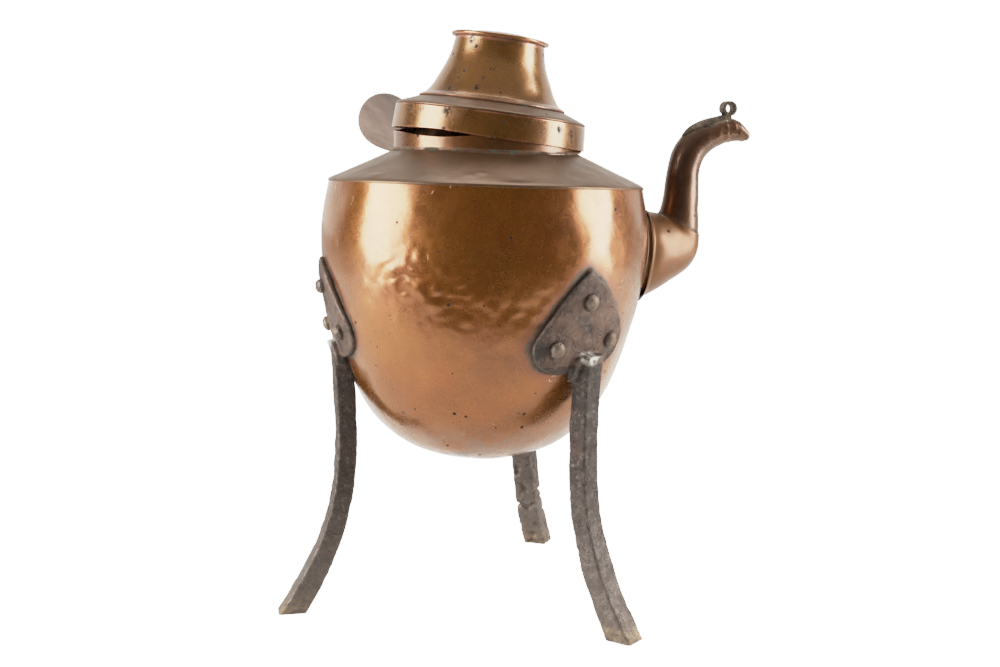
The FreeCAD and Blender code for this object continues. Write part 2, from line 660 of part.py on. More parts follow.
def flange_rivet():
    """A small rivet along +X from the shoulder's outside, through the flange."""
    seat = SOCKET_WALL + 2 * GAP
    inner = -BOWL_SHEET - GAP - FLANGE_RIVET_FLAT
    shank = Part.makeCylinder(FLANGE_RIVET_SHANK, seat - inner, V(inner, 0, 0), OUT)
    head = Part.makeCone(FLANGE_RIVET_HEAD, FLANGE_RIVET_TOP, FLANGE_RIVET_HEIGHT,
                         V(seat, 0, 0), OUT)
    tail = Part.makeCylinder(FLANGE_RIVET_TAIL, FLANGE_RIVET_TAIL_HEIGHT,
                             V(inner - FLANGE_RIVET_TAIL_HEIGHT, 0, 0), OUT)
    return shank.fuse([head, tail]).removeSplitter()


def place_on_shoulder(shape, azimuth, radius):
    """Move a shape made along +X so that +X is the normal of the shoulder's cone."""
    top = ends(shoulder_line(0)[-1])[1]
    height = top.z - (radius - top.x) * math.tan(math.radians(SHOULDER_SLOPE))
    moved = shape.copy().rotate(V(0, 0, 0), ACROSS, SHOULDER_SLOPE - 90)
    return around(moved.translate(V(radius, 0, height)), azimuth)


# --- assembly -----------------------------------------------------------------------------------

NODES["bowl"] = make_legs(lean(bowl_shell()).cut(spout_cylinder(SPOUT_HOLE_RADIUS)))
NODES["shoulder"] = lean(make_handle(shoulder_shell()))
NODES["neck_collar"] = lean(neck_collar())
NODES["lid_skirt"] = place_lid(lid_skirt())
NODES["lid_shoulder"] = place_lid(lid_shoulder())
NODES["lid_bell"] = place_lid(lid_bell())
NODES["lid_rim"] = place_lid(lid_rim())
NODES["lid_cap"] = place_lid(lid_cap())
NODES["spout_collar"] = spout_collar()
NODES["spout_boot"] = spout_boot(lean(bowl_solid(COLLAR_HEIGHT + 2 * GAP)))
NODES["spout_neck"] = spout_neck()
NODES["spout_hinge_strap"] = strap()

os.makedirs("parts", exist_ok=True)
for name, shape in NODES.items():
    shape.exportStep("parts/" + name + ".step")
    box = shape.BoundBox
    print(name, "valid" if shape.isValid() else "NOT VALID", "solids", len(shape.Solids),
          "volume", round(shape.Volume), "z", round(box.ZMin, 1), round(box.ZMax, 1))
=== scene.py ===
from math import atan2, ceil, cos, degrees, pi, radians, sin, sqrt, tan

import bmesh
import bpy
import numpy as np
from mathutils import Matrix, Vector
from mathutils.bvhtree import BVHTree
from numpy.linalg import norm


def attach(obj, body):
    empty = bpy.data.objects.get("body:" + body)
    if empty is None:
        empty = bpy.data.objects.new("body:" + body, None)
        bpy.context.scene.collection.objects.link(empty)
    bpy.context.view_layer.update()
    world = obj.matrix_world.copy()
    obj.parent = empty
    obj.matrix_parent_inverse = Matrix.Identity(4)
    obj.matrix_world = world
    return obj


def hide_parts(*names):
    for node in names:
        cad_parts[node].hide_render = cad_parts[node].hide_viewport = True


# Looks of the copper hearth kettle. Lengths are in millimetres until a mesh is made.

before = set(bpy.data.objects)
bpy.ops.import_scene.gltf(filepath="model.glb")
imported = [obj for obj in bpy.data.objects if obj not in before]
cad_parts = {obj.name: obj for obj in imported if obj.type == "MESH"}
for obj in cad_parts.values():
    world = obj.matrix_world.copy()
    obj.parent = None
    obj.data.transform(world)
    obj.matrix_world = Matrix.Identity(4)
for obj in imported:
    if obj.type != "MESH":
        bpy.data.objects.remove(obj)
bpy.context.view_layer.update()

MM = 1000  # millimetres in a metre
VIEW_TURN = radians(-12.5)  # how far the camera stands to the left of the object's front
LEAN = (250, 30, 2.4)  # the kettle tips about this height, towards this azimuth, by this angle


def from_view(x, y, z):
    """A place given as right of, behind and above the middle, as the camera sees it."""
    c = cos(VIEW_TURN)
    s = sin(VIEW_TURN)
    return Vector((x * c - y * s, x * s + y * c, z))

# ---- curves and noise

def cubic(points, count, start=None, end=None):
    """count points along the smooth curve through points, by chord length."""
    p = np.array(points, float)
    h = norm(np.diff(p, axis=0), axis=1)
    n = len(p)
    a = np.zeros((n, n))
    b = np.zeros(p.shape)
    for i in range(1, n - 1):
        a[i, i - 1:i + 2] = h[i], 2 * (h[i - 1] + h[i]), h[i - 1]
        b[i] = 3 * (h[i] * (p[i] - p[i - 1]) / h[i - 1] + h[i - 1] * (p[i + 1] - p[i]) / h[i])
    a[0, :2] = (2, 1) if start is None else (1, 0)
    b[0] = 3 * (p[1] - p[0]) / h[0] if start is None else start
    a[-1, -2:] = (1, 2) if end is None else (0, 1)
    b[-1] = 3 * (p[-1] - p[-2]) / h[-1] if end is None else end
    m = np.linalg.solve(a, b)
    knots = np.concatenate([[0], np.cumsum(h)])
    t = np.linspace(0, knots[-1], count)
    k = np.clip(np.searchsorted(knots, t, side="right") - 1, 0, n - 2)
    u = ((t - knots[k]) / h[k])[:, None]
    hk = h[k][:, None]
    return ((2 * u**3 - 3 * u**2 + 1) * p[k] + (u**3 - 2 * u**2 + u) * hk * m[k]
            + (3 * u**2 - 2 * u**3) * p[k + 1] + (u**3 - u**2) * hk * m[k + 1])


def rounded(points, radii):
    """A closed polyline with its corners rounded off."""
    p = [np.array(q, float) for q in points]
    out = []
    for i, corner in enumerate(p):
        radius = radii[i]
        if radius == 0:
            out.append(corner)
            continue
        before = p[i - 1] - corner
        after = p[(i + 1) % len(p)] - corner
        start = corner + before / norm(before) * min(radius, norm(before) / 2)
        end = corner + after / norm(after) * min(radius, norm(after) / 2)
        for u in np.linspace(0, 1, 6):
            out.append((1 - u)**2 * start + 2 * u * (1 - u) * corner + u * u * end)
    return np.array(out)


def spaced(points, step, closed=False):
    """Extra points on long runs of a polyline, so that none is longer than step."""
    p = list(points) + ([points[0]] if closed else [])
    out = []
    for a, b in zip(p, p[1:]):
        parts = max(1, int(ceil(norm(np.array(b) - a) / step)))
        out += [a + (np.array(b) - a) * i / parts for i in range(parts)]
    if not closed:
        out.append(p[-1])
    keep = [out[0]]
    for q in out[1:]:
        if norm(q - keep[-1]) > 1e-4:
            keep.append(q)
    return np.array(keep)


def stacked(*parts):
    """An array whose last axis holds the parts. A number counts for all rows."""
    return np.stack(np.broadcast_arrays(*parts), -1)


def circle(count):
    """Angles round a circle."""
    return np.linspace(0, 2 * pi, count, endpoint=False)


def noise(points, size, seed):
    """Smooth noise, about -1 to 1, with lumps of a size."""
    rng = np.random.default_rng(seed)
    table = rng.permutation(256)
    grads = rng.normal(size=(256, 3))
    grads /= norm(grads, axis=1)[:, None]
    q = points / size + 100.5
    base = np.floor(q).astype(int)
    f = q - base
    w = f**3 * (f * (f * 6 - 15) + 10)
    total = np.zeros(len(points))
    for corner in np.ndindex(2, 2, 2):
        c = np.array(corner)
        cell = (base + c) & 255
        k = table[(table[(table[cell[:, 0]] + cell[:, 1]) & 255] + cell[:, 2]) & 255]
        weight = np.prod(np.where(c == 1, w, 1 - w), axis=1)
        total += ((f - c) * grads[k]).sum(1) * weight
    return total * 1.7


def bumps(points, centres, radii, depths):
    """Round dents or lumps at centres."""
    total = np.zeros(len(points))
    for c, r, d in zip(centres, radii, depths):
        total += d * np.exp(-((points - c)**2).sum(1) / (r * r))
    return total


def soft(value, low, high):
    """0 below low, 1 above high and smooth between."""
    t = np.clip((value - low) / (high - low), 0, 1)
    return t * t * (3 - 2 * t)


def tipped(points, height, azimuth, angle):
    """Points tipped about a place on the axis, so that the side at the azimuth goes down."""
    turn = radians(azimuth)
    axis = Vector((-sin(turn), cos(turn), 0))
    r = np.array(Matrix.Rotation(radians(angle), 3, axis))
    centre = np.array([0, 0, height])
    return (points - centre) @ r.T + centre


def leaned(points):
    """Points of the upright vessel, as it stands on its uneven legs."""
    return tipped(points, *LEAN)


def turned(points, azimuth):
    a = radians(azimuth)
    r = np.array([[cos(a), -sin(a), 0], [sin(a), cos(a), 0], [0, 0, 1]])
    return points @ r.T


def azimuth_from(p, centre):
    """Degrees round the axis from an azimuth to each point."""
    return (np.degrees(np.arctan2(p[:, 1], p[:, 0])) - centre + 180) % 360 - 180


def near_azimuth(p, centre, spread):
    return np.exp(-(azimuth_from(p, centre) / spread)**2)


def outward(p):
    """The level line from the axis to each point, and its length."""
    side = stacked(p[:, 0], p[:, 1], 0)
    return side, norm(side, axis=1)[:, None]

# ---- meshes

def quads(rows, columns, wrap_rows, wrap_columns, start=0):
    r = np.arange(rows if wrap_rows else rows - 1)
    c = np.arange(columns if wrap_columns else columns - 1)
    i, j = np.meshgrid(r, c, indexing="ij")
    i2 = (i + 1) % rows
    j2 = (j + 1) % columns
    f = stacked(i * columns + j, i * columns + j2, i2 * columns + j2, i2 * columns + j)
    return (f.reshape(-1, 4) + start).tolist()


def revolved(profile, segments, closed):
    """Vertices and faces of a (radius, height) profile turned about the axis."""
    profile = np.array(profile, float)
    rows = len(profile)
    a = circle(segments)
    r = np.maximum(profile[:, :1], 0.02)
    grid = stacked(r * np.cos(a), r * np.sin(a), np.repeat(profile[:, 1:], segments, 1))
    verts = grid.reshape(-1, 3)
    faces = quads(rows, segments, closed, True)
    if not closed:
        faces.append(list(range(segments))[::-1])
        faces.append([(rows - 1) * segments + i for i in range(segments)])
    return verts, faces


def lofted(sections, capped=True):
    """Vertices and faces through a row of closed sections (rows, points, 3)."""
    sections = np.array(sections)
    rows, count = sections.shape[:2]
    faces = quads(rows, count, False, True)
    if capped:
        faces.append(list(range(count))[::-1])
        faces.append([(rows - 1) * count + i for i in range(count)])
    return sections.reshape(-1, 3), faces


def tube_wall(outer, inner):
    """A closed wall between an outer and an inner row of sections."""
    ring = np.concatenate([outer, inner[::-1]])
    rows, count = ring.shape[:2]
    return ring.reshape(-1, 3), quads(rows, count, True, True)


def joined(parts):
    verts = []
    faces = []
    start = 0
    for v, f in parts:
        verts.append(np.asarray(v))
        faces += [[i + start for i in face] for face in f]
        start += len(v)
    return np.concatenate(verts), faces


def mesh_of(name, verts, faces):
    """A mesh in metres with its faces turned outwards."""
    mesh = bpy.data.meshes.new(name)
    mesh.from_pydata((np.asarray(verts) / MM).tolist(), [], faces)
    mesh.validate()
    b = bmesh.new()
    b.from_mesh(mesh)
    bmesh.ops.recalc_face_normals(b, faces=b.faces)
    b.to_mesh(mesh)
    b.free()
    return mesh


def added(name, data):
    obj = bpy.data.objects.new(name, data)
    bpy.context.scene.collection.objects.link(obj)
    return obj


def piece(name, verts, faces, material, node, body="kettle", sharp=35):
    """An object that rides on a body and stands for a CAD node."""
    mesh = mesh_of(name, verts, faces)
    mesh.shade_smooth()
    if sharp:
        mesh.set_sharp_from_angle(angle=radians(sharp))
    mesh.materials.append(material)
    obj = added(name, mesh)
    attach(obj, body)
    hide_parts(node)
    return obj


def places(obj):
    co = np.zeros(len(obj.data.vertices) * 3)
    obj.data.vertices.foreach_get("co", co)
    return co.reshape(-1, 3) * MM


def normals(obj):
    n = np.zeros(len(obj.data.vertices) * 3)
    obj.data.vertex_normals.foreach_get("vector", n)
    return n.reshape(-1, 3)


def moved(obj, points):
    obj.data.vertices.foreach_set("co", (points / MM).ravel())
    obj.data.update()


def apply_modifiers(obj):
    depsgraph = bpy.context.evaluated_depsgraph_get()
    new = bpy.data.meshes.new_from_object(obj.evaluated_get(depsgraph))
    obj.modifiers.clear()
    obj.data = new


def remesh(obj, voxel, smooth_steps):
    """Voxel remesh in millimetres, then smoothing, both applied."""
    m = obj.modifiers.new("remesh", "REMESH")
    m.mode = "VOXEL"
    m.voxel_size = voxel / MM
    m.use_smooth_shade = True
    s = obj.modifiers.new("smooth", "SMOOTH")
    s.iterations = smooth_steps
    s.factor = 0.5
    material = obj.data.materials[0]
    apply_modifiers(obj)
    obj.data.materials.clear()
    obj.data.materials.append(material)
    obj.data.shade_smooth()


def tree_of(obj):
    return BVHTree.FromPolygons([v.co for v in obj.data.vertices],
                                [p.vertices for p in obj.data.polygons])


def struck(tree, start, way):
    """Where a ray meets a surface, in millimetres, or None."""
    hit = tree.ray_cast(Vector(start / MM), Vector(way))[0]
    return None if hit is None else np.array(hit) * MM


def distance_to(points, trees):
    """Distance in millimetres from each point to the nearest of several surfaces."""
    out = np.full(len(points), 999.0)
    for tree in trees:
        for i, p in enumerate(points / MM):
            hit = tree.find_nearest(Vector(p), 0.03)
            if hit[0] is not None and hit[3] * MM < out[i]:
                out[i] = hit[3] * MM
    return out


def paint(obj, name, values):
    """Writes one value or vector for each vertex, for the materials to read."""
    kind = "FLOAT" if np.ndim(values) == 1 else "FLOAT_VECTOR"
    attribute = obj.data.attributes.new(name, kind, "POINT")
    key = "value" if kind == "FLOAT" else "vector"
    attribute.data.foreach_set(key, np.asarray(values, np.float32).ravel())

# ---- materials

class Nodes:
    """Builds a node tree. A link or a number may be given for any input."""

    def __init__(self, owner):
        owner.use_nodes = True
        self.owner = owner
        self.tree = owner.node_tree
        self.tree.nodes.clear()

    def node(self, kind, values=(), **named):
        """values is {input's place: value}. Named in lower case are settings, else inputs."""
        n = self.tree.nodes.new(kind)
        for key, value in named.items():
            if key.islower():
                setattr(n, key, value)
            else:
                self.set(n.inputs[key.replace("_", " ")], value)
        for i, value in dict(values).items():
            self.set(n.inputs[i], value)
        return n

    def set(self, socket, value):
        if isinstance(value, bpy.types.NodeSocket):
            self.tree.links.new(value, socket)
        elif socket.type == "RGBA" and len(value) == 3:
            socket.default_value = (*value, 1)
        else:
            socket.default_value = value

    def ramp(self, value, low, high, out_low=0.0, out_high=1.0):
        return self.node("ShaderNodeMapRange", enumerate((value, low, high, out_low, out_high)),
                         interpolation_type="SMOOTHSTEP").outputs[0]


class Shader(Nodes):
    """A material. over() lays a tone on its colour so far, by a share."""

    def __init__(self, name):
        super().__init__(bpy.data.materials.new(name))
        self.where = self.node("ShaderNodeTexCoord").outputs["Object"]

    def noise(self, scale, detail=3.0, rough=0.55, where=None, distortion=0.0):
        return self.node("ShaderNodeTexNoise", Vector=where or self.where, Scale=scale,
                         Detail=detail, Roughness=rough, Distortion=distortion).outputs["Fac"]

    def mapped(self, where, turn, scale):
        return self.node("ShaderNodeMapping", Vector=where, Rotation=turn,
                         Scale=scale).outputs["Vector"]

    def cells(self, scale, feature="F1", where=None):
        return self.node("ShaderNodeTexVoronoi", feature=feature, Vector=where or self.where,
                         Scale=scale).outputs["Distance"]

    def cell_value(self, scale):
        """Distance from a cell's middle, and a random value of the cell."""
        n = self.node("ShaderNodeTexVoronoi", Vector=self.where, Scale=scale)
        parts = self.node("ShaderNodeSeparateColor", Color=n.outputs["Color"])
        return n.outputs["Distance"], parts.outputs[0]

    def dots(self, scale, wide, narrow, rare, rarer):
        """Round dots in the rare cells."""
        distance, pick = self.cell_value(scale)
        return self.times(self.ramp(distance, wide, narrow), self.ramp(pick, rare, rarer))

    def math(self, operation, a, b):
        return self.node("ShaderNodeMath", enumerate((a, b)), operation=operation).outputs[0]

    def plus(self, a, b):
        return self.math("ADD", a, b)

    def less(self, a, b):
        return self.math("SUBTRACT", a, b)

    def times(self, *values):
        out = values[0]
        for v in values[1:]:
            out = self.math("MULTIPLY", out, v)
        return out

    def start(self, share, a, b):
        self.colour = self.node("ShaderNodeMix", {0: share, 6: a, 7: b},
                                data_type="RGBA").outputs[2]

    def over(self, share, tone):
        self.start(share, self.colour, tone)

    def attribute(self, name, output="Fac"):
        return self.node("ShaderNodeAttribute", attribute_name=name).outputs[output]

    def part(self, axis):
        return self.node("ShaderNodeSeparateXYZ", Vector=self.where).outputs[axis]

    def worn(self):
        """Pointiness: above 0.5 on edges that stand out."""
        return self.node("ShaderNodeNewGeometry").outputs["Pointiness"]

    def bump(self, height, distance):
        return self.node("ShaderNodeBump", Height=height, Distance=distance,
                         Strength=1.0).outputs["Normal"]

    def finish(self, **inputs):
        shader = self.node("ShaderNodeBsdfPrincipled", **inputs)
        out = self.node("ShaderNodeOutputMaterial")
        self.tree.links.new(shader.outputs[0], out.inputs["Surface"])
        return self.owner


DIRT = (0.10, 0.060, 0.038)
VERDIGRIS = (0.085, 0.105, 0.080)
SCRATCHED = (0.62, 0.42, 0.30)
SOOT = (0.030, 0.020, 0.016)


def copper(name, tone, dark, rough=0.2, specks=1.0, dirt=0.5, coat=0.35, haze=0.0, halo=False,
           stains=False, scratches=0.5, red=0.0, gloss=1.8):
    """Old brown-patinated copper. tone and dark are its two colours.

    It reads the painted values near (a joint's dirt), plate (close to a leg's palm), edge
    (rubbed) and spots (black marks).
    """
    s = Shader(name)
    cloud = s.noise(26, 4, 0.6)
    fine = s.noise(160, 4, 0.6)
    s.start(s.ramp(cloud, 0.30, 0.74), tone, dark)
    redder = (tone[0] * 1.05, tone[1] * 0.78, tone[2] * 0.7)
    s.over(s.ramp(s.noise(48, 3, 0.5), 0.4, 0.8, 0, 0.4), redder)
    s.over(s.ramp(fine, 0.3, 0.8, 0, 0.16), dark)
    roughness = s.plus(s.ramp(s.noise(70, 5, 0.65), 0.25, 0.8, rough * 0.85, rough * 1.25),
                       s.ramp(fine, 0.4, 0.8, 0, 0.06))
    grime = s.times(s.ramp(s.attribute("near"), 0.15, 0.75), s.ramp(s.noise(110, 4, 0.7), 0.3, 0.6),
                    dirt)
    if red:
        s.over(s.times(s.attribute("edge"), s.ramp(s.noise(90, 3), 0.3, 0.6), red),
               (0.55, 0.20, 0.12))
    if halo:
        ring = s.attribute("plate")
        wavy = s.plus(ring, s.ramp(s.noise(90, 3), 0.2, 0.8, -0.12, 0.12))
        s.over(s.ramp(wavy, 0.35, 0.65, 0, 0.6), (0.21, 0.062, 0.016))
        s.over(s.ramp(wavy, 0.80, 1.0, 0, 0.8), (0.050, 0.036, 0.030))
        roughness = s.plus(roughness, s.ramp(wavy, 0.5, 1.0, 0, 0.15))
    if stains:
        low = s.ramp(s.part(2), 0.23, 0.17)
        distance, pick = s.cell_value(46)
        wobble = s.plus(distance, s.ramp(s.noise(220, 2), 0.2, 0.8, -0.09, 0.09))
        blot = s.times(s.ramp(wobble, 0.30, 0.22), s.ramp(pick, 0.72, 0.75), low)
        s.over(s.times(blot, 0.8), (0.10, 0.045, 0.022))
        roughness = s.plus(roughness, s.times(blot, 0.15))
        bottom = s.times(s.ramp(s.part(2), 0.135, 0.095), s.ramp(s.noise(60, 4, 0.7), 0.42, 0.62))
        s.over(s.times(bottom, 0.6), (0.22, 0.19, 0.17))
        roughness = s.plus(roughness, s.times(bottom, 0.25))
    small = s.dots(150, 0.21, 0.13, 1 - 0.09 * specks, 1 - 0.07 * specks)
    tiny = s.dots(330, 0.24, 0.14, 1 - 0.025 * specks, 1 - 0.015 * specks)
    spot = s.math("MAXIMUM", small, tiny)
    spot = s.math("MAXIMUM", spot, s.times(s.attribute("spots"),
                                           s.ramp(s.noise(420, 2), 0.40, 0.52)))
    s.over(spot, SOOT)
    roughness = s.plus(roughness, s.times(spot, 0.45))
    metal = s.less(0.65, s.times(spot, 0.5))
    line = s.cells(95, "DISTANCE_TO_EDGE", s.mapped(s.where, (0.3, 0.5, 0.4), (1, 3, 0.7)))
    scratch = s.times(s.ramp(line, 0.030, 0.012), s.ramp(s.noise(75, 2), 0.70, 0.73), scratches)
    s.over(scratch, SCRATCHED)
    green = s.times(grime, s.ramp(s.noise(240, 3, 0.6), 0.50, 0.60))
    s.over(grime, DIRT)
    s.over(green, VERDIGRIS)
    metal = s.less(metal, s.times(grime, 0.75))
    roughness = s.plus(roughness, s.times(grime, 0.4))
    if haze:
        metal = s.less(metal, haze)
    height = s.plus(s.noise(210, 3, 0.5), s.times(s.noise(75, 2), 2.0))
    height = s.less(height, s.times(scratch, 0.5))
    clear = s.less(1.0, grime)
    clear = s.less(clear, s.times(spot, 0.9))
    height = s.less(height, s.times(spot, 0.08))
    height = s.plus(height, s.times(grime, s.noise(500, 3), 2.0))
    return s.finish(Base_Color=s.colour, Metallic=s.math("MAXIMUM", metal, 0.0),
                    Roughness=roughness, Normal=s.bump(height, 0.00011), IOR=gloss,
                    Specular_IOR_Level=s.times(clear, 0.5), Coat_Weight=s.times(clear, coat),
                    Coat_Roughness=rough * 0.75)


def iron(name, tone, rusty):
    """Forged iron: scale, pits, rust in patches, and worn light edges."""
    s = Shader(name)
    s.start(s.ramp(s.noise(55, 5, 0.7), 0.35, 0.68), tone, (0.048, 0.038, 0.034))
    s.over(s.ramp(s.noise(330, 4, 0.7), 0.52, 0.72, 0, 0.6), (0.21, 0.175, 0.15))
    rust = s.times(s.ramp(s.noise(80, 5, 0.75), 0.54, 0.70), s.ramp(s.noise(24, 2), 0.42, 0.60),
                   rusty)
    s.over(rust, (0.185, 0.080, 0.040))
    pits = s.times(s.ramp(s.cells(420), 0.34, 0.16), s.ramp(s.noise(130, 3), 0.45, 0.62))
    s.over(s.times(pits, 0.8), (0.035, 0.028, 0.025))
    s.over(s.times(s.ramp(s.worn(), 0.505, 0.56), s.ramp(s.noise(260, 4, 0.7), 0.35, 0.6), 0.6),
           (0.30, 0.255, 0.22))
    s.over(s.times(s.attribute("pale"), s.ramp(s.noise(300, 4, 0.75), 0.36, 0.56)),
           (0.66, 0.62, 0.57))
    s.over(s.times(s.ramp(s.part(2), 0.10, 0.01), 0.55), (0.21, 0.175, 0.152))
    sole = s.times(s.ramp(s.part(2), 0.016, 0.002), s.ramp(s.noise(190, 4, 0.7), 0.40, 0.56))
    s.over(s.times(sole, 0.6), (0.33, 0.24, 0.15))
    s.over(s.times(s.ramp(s.attribute("near"), 0.45, 0.95), 0.7), (0.045, 0.034, 0.030))
    rough = s.ramp(s.noise(140, 4, 0.6), 0.3, 0.7, 0.46, 0.74)
    height = s.plus(s.times(s.noise(190, 5, 0.65), 3.0), s.times(s.noise(700, 3, 0.6), 0.7))
    height = s.less(height, s.times(pits, 1.2))
    return s.finish(Base_Color=s.colour, Metallic=s.less(0.55, s.times(rust, 0.5)),
                    Roughness=rough, Normal=s.bump(height, 0.00022), Specular_IOR_Level=0.45)


def wood(name):
    """Dry, grey turned wood. The grain runs along the grip's own axis."""
    s = Shader(name)
    grain = s.attribute("grain", "Vector")
    long = s.mapped(grain, (0, 0, 0), (190, 190, 11))
    broad = s.mapped(grain, (0, 0, 0), (34, 34, 8))
    fibre = s.noise(1.0, 5, 0.6, long, 0.4)
    patch = s.noise(1.0, 4, 0.6, broad)
    s.start(s.ramp(patch, 0.3, 0.7), (0.190, 0.140, 0.114), (0.120, 0.086, 0.070))
    s.over(s.ramp(fibre, 0.36, 0.68, 0, 0.3), (0.250, 0.195, 0.165))
    s.over(s.times(s.ramp(fibre, 0.40, 0.28), 0.5), (0.13, 0.09, 0.07))
    s.over(s.times(s.dots(260, 0.22, 0.12, 0.90, 0.93), 0.7), (0.09, 0.06, 0.05))
    rough = s.ramp(patch, 0.3, 0.7, 0.6, 0.8)
    height = s.plus(s.times(fibre, 2.0), s.times(s.noise(300, 3), 0.6))
    return s.finish(Base_Color=s.colour, Roughness=rough, Normal=s.bump(height, 0.00012),
                    Specular_IOR_Level=0.25)


def tin(name):
    """The tinned inside, dull and stained."""
    s = Shader(name)
    cloud = s.noise(30, 5, 0.65)
    s.start(s.ramp(cloud, 0.35, 0.65), (0.20, 0.175, 0.155), (0.085, 0.060, 0.045))
    s.over(s.ramp(s.noise(120, 4, 0.7), 0.55, 0.7, 0, 0.7), (0.05, 0.035, 0.028))
    rough = s.ramp(cloud, 0.3, 0.7, 0.45, 0.7)
    height = s.times(s.noise(160, 4, 0.6), 2.0)
    return s.finish(Base_Color=s.colour, Metallic=0.7, Roughness=rough,
                    Normal=s.bump(height, 0.00015))


def solder(name, tone, dark):
    """Lead-tin solder, lumpy and dirty."""
    s = Shader(name)
    cloud = s.noise(150, 4, 0.65)
    s.start(s.ramp(cloud, 0.38, 0.62), tone, dark)
    s.over(s.times(s.ramp(s.noise(90, 3), 0.52, 0.66), 0.5), (0.16, 0.18, 0.14))
    height = s.plus(s.times(cloud, 3.0), s.noise(600, 3))
    return s.finish(Base_Color=s.colour, Metallic=0.6,
                    Roughness=s.ramp(cloud, 0.3, 0.7, 0.35, 0.6), Normal=s.bump(height, 0.0002))


BODY_COPPER = copper("body_copper", (0.285, 0.095, 0.006), (0.205, 0.060, 0.003), 0.25,
                     specks=0.7, dirt=0.8, coat=0.75, halo=True, stains=True, scratches=1.0)
CONE_COPPER = copper("cone_copper", (0.160, 0.085, 0.036), (0.105, 0.052, 0.020), 0.37,
                     specks=0.3, dirt=0.9, coat=0.15, haze=0.05, scratches=0.3)
NECK_COPPER = copper("neck_copper", (0.21, 0.076, 0.010), (0.13, 0.042, 0.005), 0.28,
                     specks=0.8, dirt=1.0, coat=0.6, scratches=0, red=0.9)
LID_COPPER = copper("lid_copper", (0.25, 0.104, 0.014), (0.155, 0.058, 0.006), 0.27,
                    specks=1.2, dirt=0.6, coat=0.75, scratches=0, red=0.7)
SPOUT_COPPER = copper("spout_copper", (0.190, 0.074, 0.013), (0.115, 0.040, 0.006), 0.42,
                      specks=0.8, dirt=0.8, coat=0.6, scratches=0, gloss=1.5)
SWAN_COPPER = copper("swan_copper", (0.145, 0.060, 0.020), (0.072, 0.028, 0.009), 0.33,
                     specks=0.8, dirt=0.8, coat=0.5, scratches=0)
# the cap's pale tone is partly painted reflection: it stands in for the white backdrop that the
# copper dome mirrors at a grazing angle
CAP_COPPER_PAINTED_REFLECTION = copper("cap_copper_painted_reflection", (0.42, 0.34, 0.28), (0.30, 0.20, 0.15), 0.42,
                     specks=0.5, dirt=0.7, haze=0.4)
IRON = iron("forged_iron", (0.070, 0.051, 0.043), 0.35)
PLATE_IRON = iron("plate_iron", (0.150, 0.096, 0.073), 0.9)
RIVET_IRON = iron("rivet_iron", (0.23, 0.165, 0.115), 0.30)
STRAP = solder("strap_metal", (0.17, 0.125, 0.085), (0.07, 0.048, 0.032))
TIN = tin("tinned_inside")
WOOD = wood("grip_wood")

# ---- legs

BOWL_OUTLINE = [(0, 92), (28, 95), (48, 102.5), (63, 114.5), (77, 134), (87, 158),
                (95.5, 190), (100.3, 224), (98.8, 246), (96.6, 259.5)]
BOWL_LINE = cubic(BOWL_OUTLINE, 170, (1, 0), (-0.158, 0.987))
BAR_LINE = [(92.3, 166), (90.2, 140), (89.2, 112), (90.4, 82), (96.2, 54),
            (106.4, 28), (122.0, 0), (128.0, -10)]
PALM_LOOKS = 160.5  # the palm's material starts at this height
BAR_FOOT = 122.0  # BAR_LINE's radius on the floor
PLATE_OUTLINE = [(0, 216), (12, 206), (26, 188), (33.5, 173), (26, 161), (7, 157)]
# azimuth and twist of the palm, azimuths of the bar's top and foot, the foot's radius
LEGS = {
    "leg_rear": (60.0, 3.0, 61.4, 60.6, 125.0),
    "leg_front_left": (182.0, -2.0, 184.5, 183.5, 124.5),
    "leg_front_right": (298.5, 6.0, 298.4, 301.0, 118.7),
}
PALM_FOOT = 157.0
# across the palm, and height
PLATE_RIVETS = {"top": (0, 198), "left": (-19.5, 173), "right": (19.5, 173)}


def bowl_at(height):
    """Radius and slope of the upright bowl's outside at a height."""
    radius = np.interp(height, BOWL_LINE[:, 1], BOWL_LINE[:, 0])
    above = np.interp(np.asarray(height) + 0.5, BOWL_LINE[:, 1], BOWL_LINE[:, 0])
    below = np.interp(np.asarray(height) - 0.5, BOWL_LINE[:, 1], BOWL_LINE[:, 0])
    return radius, np.arctan2(above - below, 1.0)


def on_bowl(across, height, out):
    """A place on the upright bowl at azimuth 0: mm across, height, and mm out of its surface."""
    radius, slope = bowl_at(height)
    angle = across / radius
    r = radius + out * np.cos(slope)
    z = height - out * np.sin(slope)
    return stacked(r * np.cos(angle), r * np.sin(angle), z)


def plate_part(twist):
    """The leaf-shaped palm, as a closed solid that follows the bowl."""
    half = cubic(PLATE_OUTLINE, 46)
    outline = np.concatenate([half, (half * [-1, 1])[::-1]])
    foot = np.array([0, PALM_FOOT])
    a = radians(-twist)
    turn = np.array([[cos(a), -sin(a)], [sin(a), cos(a)]])
    middle = np.array([0, 181.0])
    rows = []
    for share, out in [(0.02, -0.4), (0.5, -0.4), (0.97, -0.4), (1.0, 0.3), (1.0, 2.3),
                       (0.975, 3.1), (0.93, 3.35), (0.6, 3.3), (0.3, 3.3), (0.02, 3.3)]:
        flat = middle + (outline - middle) * share
        flat = (flat - foot) @ turn + foot
        rows.append(on_bowl(flat[:, 0], flat[:, 1], np.full(len(flat), out)))
    return lofted(rows)


